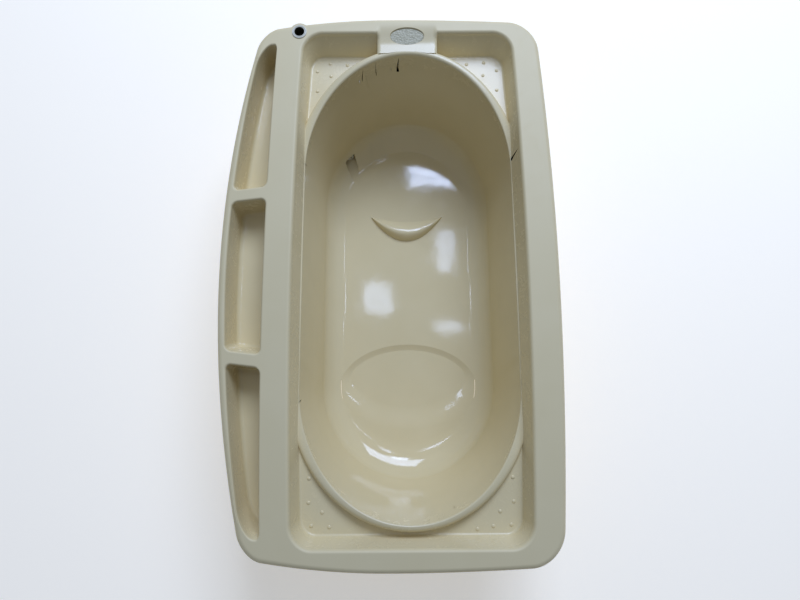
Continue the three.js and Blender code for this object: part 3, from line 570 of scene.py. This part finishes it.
def stop_solid():
    """Raised crescent: its middle line is y = y0 + curve t^2, its width and height fall with
    1 - t^2.  Across, it climbs as a sine for six tenths of its width and drops as a cosine."""
    t = np.linspace(-0.985, 0.985, 71)[:, None]
    s = np.concatenate([np.linspace(0, 0.62, 13), np.linspace(0.62, 1, 11)[1:]])[None, :]
    thick = STOP_THICKNESS * (1 - t ** 2)
    middle = STOP_Y + STOP_THICKNESS / 2 + (STOP_CURVE - STOP_THICKNESS / 2) * t ** 2
    climb = np.sin(np.clip(s / 0.62, 0, 1) * math.pi / 2) ** 1.1
    drop = np.cos(np.clip((s - 0.62) / 0.38, 0, 1) * math.pi / 2) ** 0.8
    height = STOP_HEIGHT * (1 - t ** 2) ** 0.6 * climb * drop
    x = STOP_HALF_WIDTH * t + 0 * s
    y = middle + thick * (0.5 - s)
    top = np.stack([x, y, FLOOR - 0.05 + height], -1)
    foot = np.stack([x, y, np.full_like(y, FLOOR - 2)], -1)[:, ::-1]
    return loft("stop", np.concatenate([top, foot], 1)[:, ::-1])


def seat_void():
    """Seat dish: a flat oval floor and an S-curved side, narrow at the far edge and wide at
    the near one, where it fades into the floor."""
    angle = np.linspace(0, SUN, 160, endpoint=False)
    width = SEAT_EDGE[1] + (SEAT_EDGE[0] - SEAT_EDGE[1]) * smooth(np.sin(angle), -0.5, 0.5)
    rim = np.column_stack([SEAT_HALF[0] * np.cos(angle), SEAT_Y + SEAT_HALF[1] * np.sin(angle)])
    inward = -np.column_stack([np.cos(angle), np.sin(angle)])
    far = smooth(np.sin(angle), -0.2, 0.4)
    rings = []
    for share in np.linspace(0, 1, 12):
        soft = share * share * (3 - 2 * share)
        step = soft + (share ** 1.15 - soft) * far
        outline = rim + inward * (width * (1 - share))[:, None]
        rings.append(at_height(outline, FLOOR - SEAT_DEPTH + (SEAT_DEPTH + 0.02) * step))
    rings.append(at_height(rings[-1][:, :2], FLOOR + 1))
    return loft("seat", rings)


def gully_solid(grow, bottom, top):
    """Wedge in plan: narrow start, flare, then parallel walls to the outlet."""
    along = np.array([-grow, GULLY_FLARE, GULLY_LENGTH + grow])
    side = np.array([GULLY_TIP, GULLY_HALF_WIDTH, GULLY_HALF_WIDTH]) + grow
    right = GULLY_START + along[:, None] * GULLY_DIR + side[:, None] * GULLY_SIDE
    left = GULLY_START + along[:, None] * GULLY_DIR - side[:, None] * GULLY_SIDE
    outline = np.concatenate([right, left[::-1]])
    return loft("gully", [at_height(outline, bottom), at_height(outline, top)])


def port_cylinder(radius, bottom, top):
    outline = ellipse(PORT[0], PORT[1], radius, radius, 72)
    return loft("port", [at_height(outline, bottom), at_height(outline, top)])


def along_drain(piece, distance):
    """Lays a piece made about +Z along the drain line, its z = 0 at a distance from the start."""
    co = points_of(piece)
    start = np.array([*(GULLY_START + distance * GULLY_DIR), DRAIN_HEIGHT])
    ahead = np.array([*GULLY_DIR, 0])
    side = np.array([*GULLY_SIDE, 0])
    down = np.array([0, 0, -1.0])
    set_points(piece, start + co[:, 2:3] * ahead + co[:, 0:1] * side + co[:, 1:2] * down)
    return piece


def at_port(piece, height):
    """Moves a piece made about +Z to the parking hole, its z = 0 at a height."""
    set_points(piece, points_of(piece) + [*PORT, height])
    return piece


def points_of(piece):
    co = np.empty(len(piece.data.vertices) * 3, np.float32)
    piece.data.vertices.foreach_get("co", co)
    return co.reshape(-1, 3).astype(float) / MM


def set_points(piece, points):
    piece.data.vertices.foreach_set("co", (np.asarray(points) * MM).astype(np.float32).ravel())
    piece.data.update()


def spigot_hole():
    radius = TUBE_RADIUS + GAP
    return along_drain(turned("spigot_hole", [(0, 0), (radius, 0), (radius, 12), (0, 12)], 48),
                       GULLY_LENGTH - 3)


def pips():
    """Small domes on the corner ledges: z = r' sqrt(1 - s^2) on a low base, in one mesh."""
    far = np.array([(155, 328), (156, 365), (134, 380), (104, 377), (132, 356)], float)
    near = np.array([(155, -313), (155, -348), (134, -362), (150, -381), (123, -383)], float)
    right = np.concatenate([far, near])
    spots = np.concatenate([right, right * (-1, 1), [(99, -387)]])
    steps, rows = 14, 5
    angle = np.linspace(0, SUN, steps, endpoint=False)
    tilt = np.linspace(0, math.pi / 2 * 0.9, rows)
    radius, height = 3.0, 1.5
    ring = np.stack([
        radius * np.cos(tilt)[:, None] * np.cos(angle)[None, :],
        radius * np.cos(tilt)[:, None] * np.sin(angle)[None, :],
        np.broadcast_to((height * np.sin(tilt))[:, None], (rows, steps)),
    ], -1)
    ring = np.concatenate([ring[:1] - [0, 0, 0.6], ring])
    rows += 1
    one = ring.reshape(-1, 3)
    all_points = (one[None] + np.column_stack([spots, np.full(len(spots), LEDGE)])[:, None]).reshape(-1, 3)
    faces = []
    for k in range(len(spots)):
        base = k * rows * steps
        faces += [tuple(face) for face in grid_faces(rows, steps) + base]
        faces.append(tuple(range(base + steps - 1, base - 1, -1)))
        faces.append(tuple(range(base + (rows - 1) * steps, base + rows * steps)))
    return make_object("pips", all_points, faces)


def tub():
    body = rim_solid()
    body.name = "tub"
    combine(body, [rim_underside()], "DIFFERENCE")
    shells = [tray_shell(), basin_shell(), gully_solid(WALL, 0, FLOOR + GULLY_HEIGHT + WALL)]
    shells += [pocket_solid(y0, y1, WALL, 0) for y0, y1 in POCKETS]
    shells.append(port_cylinder(16.5, RIM_TOP - 6, RIM_TOP - 0.5))
    combine(body, shells, "UNION")
    combine(body, [tray_void(), pad_cut()], "DIFFERENCE")
    combine(body, [lip_solid(0), lip_solid(1), pad_solid(), pips()], "UNION")
    combine(body, [basin_void()], "DIFFERENCE")
    combine(body, [stop_solid()], "UNION")
    voids = [seat_void(), gully_solid(0, FLOOR, FLOOR + GULLY_HEIGHT), spigot_hole()]
    voids += [pocket_solid(y0, y1, 0, RIM_TOP + 3) for y0, y1 in POCKETS]
    voids += [port_cylinder(BUSH_BODY + GAP, RIM_TOP - 8, RIM_TOP + 3), badge_recess()]
    combine(body, voids, "DIFFERENCE")
    body.data.shade_smooth()
    body.data.set_sharp_from_angle(angle=math.radians(32))
    shading = body.modifiers.new("large_faces_lead", "WEIGHTED_NORMAL")
    shading.mode = "FACE_AREA"
    shading.keep_sharp = True
    return body


# ---- Drain fittings -------------------------------------------------------------------
def joined(name, pieces):
    """One piece from several closed solids."""
    pieces[0].name = name
    return combine(pieces[0], pieces[1:], "UNION")


def rounded_bar(name, half_x, half_y, low, high, radius, edge):
    """An upright bar with rounded corners and a small rounded edge at its top and foot."""
    rings = []
    for inset, z in ((edge, low), (0, low + edge), (0, high - edge), (edge, high)):
        corner = (max(radius - inset, 0.2),) * 4
        box = rounded_box(inset - half_x, half_x - inset, inset - half_y, half_y - inset, corner, 4, 6)
        rings.append(at_height(box, z))
    return loft(name, rings)


def rim_bush():
    """Snap-in bush: a barrel with a rounded flange and a lead-in at its mouth."""
    foot = bush_high[2] - RIM_TOP - 1.4
    top = bush_high[2] - RIM_TOP
    bend = np.linspace(0, math.pi / 2, 7)
    lip = np.column_stack([BUSH_FLANGE - 0.9 + 0.9 * np.cos(bend), top - 0.9 + 0.9 * np.sin(bend)])
    mouth = np.column_stack([BUSH_BORE + 0.6 - 0.6 * np.sin(bend), top - 0.6 + 0.6 * np.cos(bend)])
    profile = [(BUSH_BORE, 0.5 - BUSH_LENGTH), (BUSH_BORE + 0.4, -BUSH_LENGTH),
               (BUSH_BODY - 0.4, -BUSH_LENGTH), (BUSH_BODY, 0.8 - BUSH_LENGTH), (BUSH_BODY, foot),
               (BUSH_FLANGE, foot), *lip, *mouth]
    return at_port(turned("parking_bush", profile, 96), RIM_TOP)


def hose_nozzle():
    """Nozzle that hangs in the bush: a rounded mouth, a shoulder and a barbed tail."""
    top, foot = NOZZLE_TOP - SHOULDER_FOOT, NOZZLE_FOOT - SHOULDER_FOOT
    bend = np.linspace(0, math.pi, 9)
    middle, half = (NOZZLE_RADIUS + NOZZLE_BORE) / 2, (NOZZLE_RADIUS - NOZZLE_BORE) / 2
    mouth = np.column_stack([middle + half * np.cos(bend), top - half + half * np.sin(bend)])
    barbs = [(TUBE_RADIUS - 0.7, foot), (TUBE_RADIUS, foot + 2), (TUBE_RADIUS - 0.7, foot + 4.2),
             (TUBE_RADIUS, foot + 6), (TUBE_RADIUS - 0.7, foot + 8.4), (TUBE_RADIUS, foot + 10)]
    shoulder = [(NOZZLE_SHOULDER - 0.5, 0), (NOZZLE_SHOULDER, 0.5), (NOZZLE_SHOULDER, 2.5),
                (NOZZLE_SHOULDER - 0.5, 3)]
    inside = [(NOZZLE_BORE, 4), (TUBE_BORE + 1, 0.5), (TUBE_BORE, -1), (TUBE_BORE, foot)]
    profile = [*barbs, (TUBE_RADIUS, 0), *shoulder, (NOZZLE_RADIUS, 3), *mouth, *inside]
    piece = at_port(turned("drain_nozzle", profile, 96), SHOULDER_FOOT)
    return piece


def outlet_spigot():
    """Flanged outlet: a rounded flange inside the gully and a threaded, then barbed tube."""
    start = GULLY_LENGTH - SEAL_THICK - 2 * GAP - FLANGE_THICK
    length = GULLY_LENGTH + WALL + SPIGOT_TAIL - start
    thread_from, thread_to = FLANGE_THICK + 5, FLANGE_THICK + 14
    along = np.linspace(thread_from, thread_to, 57)
    crest = TUBE_RADIUS - 0.25 + 0.25 * np.cos((along - thread_from) / 1.5 * SUN)
    thread = np.column_stack([crest, along])
    barbs = []
    for k in range(3):
        barbs += [(TUBE_RADIUS, length - 15 + 4.5 * k), (TUBE_RADIUS - 0.7, length - 11 + 4.5 * k)]
    flange = [(TUBE_BORE, 0.8), (TUBE_BORE + 0.8, 0), (FLANGE_RADIUS - 0.8, 0), (FLANGE_RADIUS, 0.8),
              (FLANGE_RADIUS, FLANGE_THICK), (TUBE_RADIUS, FLANGE_THICK)]
    profile = [*flange, *thread, *barbs, (TUBE_RADIUS - 1, length), (TUBE_BORE, length)]
    return along_drain(turned("outlet", profile, 72), start)


def outlet_seal():
    """Flat washer with rounded rims, under the outlet's flange."""
    bend = np.linspace(-math.pi / 2, math.pi / 2, 9)
    half = SEAL_THICK / 2
    outer = np.column_stack([FLANGE_RADIUS - 0.4 - half + half * np.cos(bend), half + half * np.sin(bend)])
    inner = np.column_stack([TUBE_RADIUS + GAP + half - half * np.cos(bend), half - half * np.sin(bend)])
    return along_drain(turned("outlet_washer", [*outer, *inner], 72), GULLY_LENGTH - SEAL_THICK - GAP)


def lock_nut():
    """Hexagonal nut with chamfered corners: a hexagonal bar met by a cone-ended disc."""
    corner = NUT_FLAT / math.cos(math.pi / 6)
    bar = turned("lock_nut", [(0, 0), (corner, 0), (corner, NUT_THICK), (0, NUT_THICK)], 6)
    disc = turned("disc", [(0, 0), (NUT_FLAT, 0), (corner, 1.2), (corner, NUT_THICK - 1.2),
                           (NUT_FLAT, NUT_THICK), (0, NUT_THICK)], 72)
    bore = TUBE_RADIUS + GAP
    hole = turned("hole", [(0, -1), (bore, -1), (bore, NUT_THICK + 1), (0, NUT_THICK + 1)], 72)
    combine(bar, [disc], "INTERSECT")
    combine(bar, [hole], "DIFFERENCE")
    return along_drain(bar, GULLY_LENGTH + WALL + GAP)


def band_clamp(name):
    """Worm-drive band: a thin band with rolled edges, a domed screw housing and a hex screw."""
    inner = HOSE_RADIUS + GAP
    outer = inner + CLAMP_WALL
    profile = [(inner, 0.3), (inner + 0.3, 0), (outer - 0.2, 0), (outer + 0.2, 0.5), (outer, 1.1),
               (outer, CLAMP_WIDTH - 1.1), (outer + 0.2, CLAMP_WIDTH - 0.5),
               (outer - 0.2, CLAMP_WIDTH), (inner + 0.3, CLAMP_WIDTH), (inner, CLAMP_WIDTH - 0.3)]
    band = turned(name, profile, 72)
    housing = rounded_bar("housing", 2.4, 4.6, 0.8, CLAMP_WIDTH - 0.8, 1.6, 0.6)
    set_points(housing, points_of(housing) + [inner + 2.6, 0, 0])
    screw = turned("screw", [(0, -5.4), (1.5, -5.4), (1.8, -5.0), (1.8, 5.4), (0, 5.4)], 6)
    head = turned("head", [(0, 4.4), (2.5, 4.4), (2.5, 5.1), (2.1, 5.4), (0, 5.4)], 36)
    for part in (screw, head):
        x, y, z = points_of(part).T
        set_points(part, np.column_stack([x + inner + 3.0, z, CLAMP_WIDTH / 2 - y]))
    return joined(name, [band, housing, screw, head])


def clamp_on_drain():
    start = GULLY_LENGTH + WALL + SPIGOT_TAIL - HOSE_GRIP + CLAMP_FROM_END
    return along_drain(band_clamp("outlet_clamp"), start)


def clamp_on_nozzle():
    piece = band_clamp("parking_clamp")
    x, y, z = points_of(piece).T
    turn = math.radians(225)
    set_points(piece, np.column_stack([x * math.cos(turn) - y * math.sin(turn),
                                       x * math.sin(turn) + y * math.cos(turn), z]))
    return at_port(piece, HOSE_TOP - CLAMP_FROM_END - CLAMP_WIDTH)


def hose_path():
    """Centre line of the hose: straight off the outlet, a cubic bend, straight up to the
    nozzle, as points and unit directions."""
    end = GULLY_LENGTH + WALL + SPIGOT_TAIL
    ahead = np.array([*GULLY_DIR, 0])

    def on_line(distance):
        return np.array([*(GULLY_START + distance * GULLY_DIR), DRAIN_HEIGHT])
    first, last = on_line(end + 2), np.array([*PORT, DRAIN_HEIGHT + HOSE_BEND])
    pull = HOSE_BEND * 0.55
    handles = (first, first + ahead * pull, last - [0, 0, pull], last)
    t = np.linspace(0, 1, 60)[:, None]
    weights = ((1 - t) ** 3, 3 * t * (1 - t) ** 2, 3 * t ** 2 * (1 - t), t ** 3)
    bend = sum(weight * handle for weight, handle in zip(weights, handles))
    low = np.linspace(0, 1, 12)[:-1, None] * (first - on_line(end - HOSE_GRIP)) + on_line(end - HOSE_GRIP)
    rise = np.linspace(0, 1, 34)[1:, None] * (np.array([*PORT, HOSE_TOP]) - last) + last
    centre = np.concatenate([low, bend, rise])
    step = np.gradient(centre, axis=0)
    return centre, step / np.linalg.norm(step, axis=1)[:, None]


def drain_hose():
    """Tube round the path: an outer and an inner wall joined by rounded ends."""
    centre, ahead = hose_path()
    side = np.array([*GULLY_SIDE, 0])
    across = np.cross(ahead, side)
    across /= np.linalg.norm(across, axis=1)[:, None]
    side = np.cross(across, ahead)
    angle = np.linspace(0, SUN, 48, endpoint=False)
    circle = side[:, None] * np.cos(angle)[:, None] + across[:, None] * np.sin(angle)[:, None]
    outer = centre[:, None] + circle * HOSE_RADIUS
    inner = centre[:, None] + circle * HOSE_BORE
    middle = (HOSE_RADIUS + HOSE_BORE) / 2
    start = centre[:1, None] + circle[:1] * middle - ahead[:1, None] * 0.5
    finish = centre[-1:, None] + circle[-1:] * middle + ahead[-1:, None] * 0.2
    rings = np.concatenate([outer, finish, inner[::-1], start])
    rows, count = rings.shape[:2]
    faces = grid_faces(rows, count, closed_rows=True)
    return tidy_mesh(make_object("drain_tube", rings.reshape(-1, 3), faces, 50))


# ---- Materials ------------------------------------------------------------------------
def linear(hex_colour):
    """sRGB hex to a linear RGBA tuple."""
    channels = [int(hex_colour[i:i + 2], 16) / 255 for i in (1, 3, 5)]
    return (*(c / 12.92 if c <= 0.04045 else ((c + 0.055) / 1.055) ** 2.4 for c in channels), 1)


def per(size):
    """Texture scale whose features are about size millimetres across."""
    return 1 / (size * MM)


def add(tree, kind, values=None, links=None, **settings):
    """Adds one node: settings are its properties, values its constants, links its sockets."""
    node = tree.nodes.new(kind)
    for key, value in settings.items():
        setattr(node, key, value)
    for key, value in (values or {}).items():
        node.inputs[key].default_value = value
    for key, socket in (links or {}).items():
        tree.links.new(socket, node.inputs[key])
    return node


def new_material(name):
    material = bpy.data.materials.new(name)
    material.use_nodes = True
    material.node_tree.nodes.clear()
    return material, material.node_tree


def injection_moulded_polypropylene():
    """Injection-moulded ivory polypropylene.  The mould is polished in the basin, tray and
    pockets and spark-eroded on the rim, so the eye gets sharp glints and a slow wave below
    and a soft, fine-grained sheen above, with a few scuffs where hands and taps rub."""
    material, tree = new_material("injection_moulded_polypropylene")
    place = add(tree, "ShaderNodeTexCoord").outputs["Object"]
    height = add(tree, "ShaderNodeSeparateXYZ", links={"Vector": place}).outputs["Z"]
    grained = add(tree, "ShaderNodeMapRange",
                  {"From Min": (RIM_TOP - 6) * MM, "From Max": (RIM_TOP - 1.5) * MM},
                  {"Value": height}).outputs[0]
    flow = add(tree, "ShaderNodeTexNoise", {"Scale": per(70), "Detail": 2.0}, {"Vector": place})
    # the eroded grain is about 0.3 mm; it is drawn at 1.4 mm so that it still shows
    grain = add(tree, "ShaderNodeTexNoise", {"Scale": per(1.4), "Detail": 3.0}, {"Vector": place})
    scuff = add(tree, "ShaderNodeTexNoise",
                {"Scale": per(24), "Detail": 6.0, "Roughness": 0.72, "Distortion": 0.6},
                {"Vector": place})
    tint = add(tree, "ShaderNodeMix", {6: linear("#e2d1a2"), 7: linear("#e8d8ac")},
               {0: flow.outputs["Fac"]}, data_type="RGBA")
    worn = add(tree, "ShaderNodeMapRange",
               {"From Min": 0.52, "From Max": 0.8, "To Min": 0.0, "To Max": 0.12},
               {"Value": scuff.outputs["Fac"]})
    polished = add(tree, "ShaderNodeMapRange",
                   {"From Min": (LEDGE - 12) * MM, "From Max": (LEDGE - 1) * MM,
                    "To Min": 0.07, "To Max": 0.26}, {"Value": height})
    base_rough = add(tree, "ShaderNodeMapRange", {"To Max": 0.52},
                     {"Value": grained, "To Min": polished.outputs[0]})
    rough = add(tree, "ShaderNodeMath", links={0: base_rough.outputs[0], 1: worn.outputs[0]},
                operation="ADD")
    wave = add(tree, "ShaderNodeBump", {"Strength": 0.25, "Distance": 0.0012},
               {"Height": flow.outputs["Fac"]})
    strength = add(tree, "ShaderNodeMath", {1: 0.35}, {0: grained}, operation="MULTIPLY")
    bump = add(tree, "ShaderNodeBump", {"Distance": 0.00025},
               {"Height": grain.outputs["Fac"], "Strength": strength.outputs[0],
                "Normal": wave.outputs[0]})
    shader = add(tree, "ShaderNodeBsdfPrincipled", {"IOR": 1.49},
                 {"Base Color": tint.outputs[2], "Roughness": rough.outputs[0],
                  "Normal": bump.outputs[0]})
    add(tree, "ShaderNodeOutputMaterial", links={"Surface": shader.outputs[0]})
    return material


def pebble_grained_polypropylene():
    """Polypropylene badge moulded against a pebbled insert: a coarse, greyish relief, with painted shade
    that darkens the hollows between the pebbles into small speckles."""
    material, tree = new_material("pebble_grained_polypropylene")
    place = add(tree, "ShaderNodeTexCoord").outputs["Object"]
    pebble = add(tree, "ShaderNodeTexVoronoi", {"Scale": per(2.6), "Randomness": 1.0},
                 {"Vector": place}, feature="SMOOTH_F1")
    dust = add(tree, "ShaderNodeTexNoise", {"Scale": per(1.5), "Detail": 4.0}, {"Vector": place})
    # greyish badge tone, darker where the pebble relief is low: painted shade in its hollows
    tint = add(tree, "ShaderNodeMix", {6: linear("#d6cfae"), 7: linear("#a39c7e")},
               {0: pebble.outputs["Distance"]}, data_type="RGBA")
    mixed = add(tree, "ShaderNodeMath", links={0: pebble.outputs["Distance"], 1: dust.outputs["Fac"]},
                operation="ADD")
    bump = add(tree, "ShaderNodeBump", {"Strength": 0.8, "Distance": 0.0008}, {"Height": mixed.outputs[0]})
    bump.invert = True
    shader = add(tree, "ShaderNodeBsdfPrincipled", {"Roughness": 0.42, "IOR": 1.49},
                 {"Base Color": tint.outputs[2], "Normal": bump.outputs[0]})
    add(tree, "ShaderNodeOutputMaterial", links={"Surface": shader.outputs[0]})
    return material


def turned_plastic(name, colour, shade, roughness):
    """Smooth engineering plastic with a faint flow pattern and a fine tool grain."""
    material, tree = new_material(name)
    place = add(tree, "ShaderNodeTexCoord").outputs["Object"]
    flow = add(tree, "ShaderNodeTexNoise", {"Scale": per(9), "Detail": 3.0}, {"Vector": place})
    grain = add(tree, "ShaderNodeTexNoise", {"Scale": per(0.8), "Detail": 3.0}, {"Vector": place})
    tint = add(tree, "ShaderNodeMix", {6: linear(colour), 7: linear(shade)},
               {0: flow.outputs["Fac"]}, data_type="RGBA")
    rough = add(tree, "ShaderNodeMapRange", {"To Min": roughness * 0.8, "To Max": roughness * 1.25},
                {"Value": grain.outputs["Fac"]})
    bump = add(tree, "ShaderNodeBump", {"Strength": 0.12, "Distance": 0.0002},
               {"Height": grain.outputs["Fac"]})
    shader = add(tree, "ShaderNodeBsdfPrincipled", {"IOR": 1.48},
                 {"Base Color": tint.outputs[2], "Roughness": rough.outputs[0],
                  "Normal": bump.outputs[0]})
    add(tree, "ShaderNodeOutputMaterial", links={"Surface": shader.outputs[0]})
    return material


def extruded_soft_pvc():
    """Extruded soft PVC hose: satin and slightly see-through, with fine die lines round the
    tube and a milky drift in its colour."""
    material, tree = new_material("extruded_soft_pvc")
    place = add(tree, "ShaderNodeTexCoord").outputs["Object"]
    drift = add(tree, "ShaderNodeTexNoise", {"Scale": per(18), "Detail": 3.0}, {"Vector": place})
    lines = add(tree, "ShaderNodeTexNoise", {"Scale": per(1.1), "Detail": 2.0}, {"Vector": place})
    tint = add(tree, "ShaderNodeMix", {6: linear("#d9d4bf"), 7: linear("#cbc5ac")},
               {0: drift.outputs["Fac"]}, data_type="RGBA")
    bump = add(tree, "ShaderNodeBump", {"Strength": 0.2, "Distance": 0.0002},
               {"Height": lines.outputs["Fac"]})
    shader = add(tree, "ShaderNodeBsdfPrincipled",
                 {"Roughness": 0.36, "IOR": 1.53, "Subsurface Weight": 0.15,
                  "Subsurface Scale": 0.002},
                 {"Base Color": tint.outputs[2], "Normal": bump.outputs[0]})
    add(tree, "ShaderNodeOutputMaterial", links={"Surface": shader.outputs[0]})
    return material


def moulded_epdm():
    """Moulded EPDM rubber: near black, matt, with a dusty bloom."""
    material, tree = new_material("moulded_epdm")
    place = add(tree, "ShaderNodeTexCoord").outputs["Object"]
    bloom = add(tree, "ShaderNodeTexNoise", {"Scale": per(3), "Detail": 5.0}, {"Vector": place})
    tint = add(tree, "ShaderNodeMix", {6: linear("#232321"), 7: linear("#3b3a37")},
               {0: bloom.outputs["Fac"]}, data_type="RGBA")
    bump = add(tree, "ShaderNodeBump", {"Strength": 0.3, "Distance": 0.0002},
               {"Height": bloom.outputs["Fac"]})
    shader = add(tree, "ShaderNodeBsdfPrincipled", {"Roughness": 0.82, "IOR": 1.5},
                 {"Base Color": tint.outputs[2], "Normal": bump.outputs[0]})
    add(tree, "ShaderNodeOutputMaterial", links={"Surface": shader.outputs[0]})
    return material


def rolled_stainless_steel():
    """Rolled stainless band: bright metal with fine rolling lines that streak its glints."""
    material, tree = new_material("rolled_stainless_steel")
    place = add(tree, "ShaderNodeTexCoord").outputs["Object"]
    stretched = add(tree, "ShaderNodeMapping", {"Scale": (1.0, 1.0, 9.0)}, {"Vector": place})
    lines = add(tree, "ShaderNodeTexNoise", {"Scale": per(1.6), "Detail": 4.0},
                {"Vector": stretched.outputs[0]})
    tint = add(tree, "ShaderNodeMix", {6: linear("#b9bbbd"), 7: linear("#d3d4d5")},
               {0: lines.outputs["Fac"]}, data_type="RGBA")
    rough = add(tree, "ShaderNodeMapRange", {"To Min": 0.2, "To Max": 0.42},
                {"Value": lines.outputs["Fac"]})
    bump = add(tree, "ShaderNodeBump", {"Strength": 0.12, "Distance": 0.0001},
               {"Height": lines.outputs["Fac"]})
    shader = add(tree, "ShaderNodeBsdfPrincipled", {"Metallic": 1.0},
                 {"Base Color": tint.outputs[2], "Roughness": rough.outputs[0],
                  "Normal": bump.outputs[0]})
    add(tree, "ShaderNodeOutputMaterial", links={"Surface": shader.outputs[0]})
    return material


def dress(piece, material, slot, body, *nodes):
    """Gives a piece its material and body, and hides the nodes it stands for; the slot argument is not
    used.
    """
    piece.data.materials.clear()
    piece.data.materials.append(material)
    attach(piece, body)
    if nodes:
        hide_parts(*nodes)
    return piece


def paint_bore_shade(piece, material):
    """Gives the faces inside the nozzle's bore a second material, a dark plastic that is painted shade
    down the bore.
    """
    piece.data.materials.append(material)
    centre = np.empty(len(piece.data.polygons) * 3, np.float32)
    piece.data.polygons.foreach_get("center", centre)
    centre = centre.reshape(-1, 3) / MM
    radius = np.linalg.norm(centre[:, :2] - PORT, axis=1)
    inside = (radius < NOZZLE_BORE + 0.25) & (centre[:, 2] > SHOULDER_FOOT - 1)
    inside |= radius < TUBE_BORE + 0.2
    piece.data.polygons.foreach_set("material_index", inside.astype(np.int32))


# ---- Stage ----------------------------------------------------------------------------
def camera():
    data = bpy.data.cameras.new("camera")
    data.lens = 22.5
    data.sensor_width = 36
    view = bpy.data.objects.new("camera", data)
    view.location = (-0.0156, -0.1704, 0.7543 + RIM_TOP * MM)
    view.rotation_euler = (math.radians(9.4), 0, math.radians(-0.374))
    bpy.context.scene.collection.objects.link(view)
    bpy.context.scene.camera = view


def panel(name, place, target, size, radiance, colour="#ffffff"):
    """A flat area light at place that faces target; its power follows from its radiance."""
    data = bpy.data.lights.new(name, "AREA")
    data.shape = "RECTANGLE"
    data.size, data.size_y = size
    data.energy = radiance * size[0] * size[1] * math.pi
    data.color = linear(colour)[:3]
    light = bpy.data.objects.new(name, data)
    light.location = place
    aim = Vector(target) - Vector(place)
    light.rotation_euler = aim.to_track_quat("-Z", "Y").to_euler()
    bpy.context.scene.collection.objects.link(light)


def stage():
    half = 4 / MM
    floor = make_object("floor", [(-half, -half, -1), (half, -half, -1), (half, half, -1),
                                  (-half, half, -1)], [(0, 1, 2, 3)])
    material, tree = new_material("white_floor")
    shader = add(tree, "ShaderNodeBsdfPrincipled",
                 {"Base Color": linear("#fdf3de"), "Roughness": 0.9, "Specular IOR Level": 0.1,
                  "Emission Color": linear("#ffffff"), "Emission Strength": 0.35})
    add(tree, "ShaderNodeOutputMaterial", links={"Surface": shader.outputs[0]})
    floor.data.materials.append(material)
    world = bpy.data.worlds.new("studio")
    world.use_nodes = True
    world.node_tree.nodes["Background"].inputs["Color"].default_value = linear("#d3e2ff")
    world.node_tree.nodes["Background"].inputs["Strength"].default_value = 0.24
    bpy.context.scene.world = world
    bpy.context.scene.view_settings.view_transform = "Standard"
    daylight = "#c9daff"
    panel("window", (0.55, 2.0, 2.3), (0, 0, 0.1), (1.7, 1.1), 11.5, daylight)
    # small high panes, whose mirror images are the glints on the polished floor
    for k in range(4):
        panel(f"pane_far_{k}", (0.24, 1.28 + 0.08 * k, 2.5), (0.24, 1.28, 0), (0.36, 0.06), 26.0, daylight)
    panel("pane_left", (-0.166, 0.42, 2.5), (-0.166, 0.42, 0), (0.2, 0.22), 10.0, daylight)
    panel("pane_right", (0.31, 0.75, 2.5), (0.31, 0.75, 0), (0.12, 0.3), 10.0, daylight)
    panel("pane_low", (0.32, 0.21, 2.5), (0.32, 0.21, 0), (0.2, 0.07), 10.0, daylight)


# ---- Assembly -------------------------------------------------------------------------
camera()
stage()

ivory = injection_moulded_polypropylene()
white_acetal = turned_plastic("moulded_acetal", "#e9e5d2", "#dfdac4", 0.26)
# dark plastic used as painted shade inside the nozzle's bore
painted_bore_shade = turned_plastic("bore_painted_shade", "#35331f", "#45422b", 0.55)
steel = rolled_stainless_steel()

dress(tub(), ivory, "ivory_plastic", "bath", "bath_moulding")
dress(rim_bush(), white_acetal, "white_plastic", "bath", "rim_bush")
dress(outlet_spigot(), white_acetal, "white_plastic", "bath", "outlet_spigot")
dress(lock_nut(), white_acetal, "white_plastic", "bath", "outlet_lock_nut")
dress(outlet_seal(), moulded_epdm(), "seal_rubber", "bath", "outlet_seal")
dress(clamp_on_drain(), steel, "clamp_steel", "bath", "hose_clamp")
dress(clamp_on_nozzle(), steel, "clamp_steel", "hose_end", "nozzle_clamp")
nozzle = dress(hose_nozzle(), white_acetal, "white_plastic", "hose_end", "hose_nozzle")
# the faces inside the bore get the dark painted-shade material
paint_bore_shade(nozzle, painted_bore_shade)

hose = drain_hose()
hose.data.materials.append(extruded_soft_pvc())
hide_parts("drain_hose")
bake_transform(hose)

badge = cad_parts["oval_badge"]
badge.data.materials.clear()
badge.data.materials.append(pebble_grained_polypropylene())
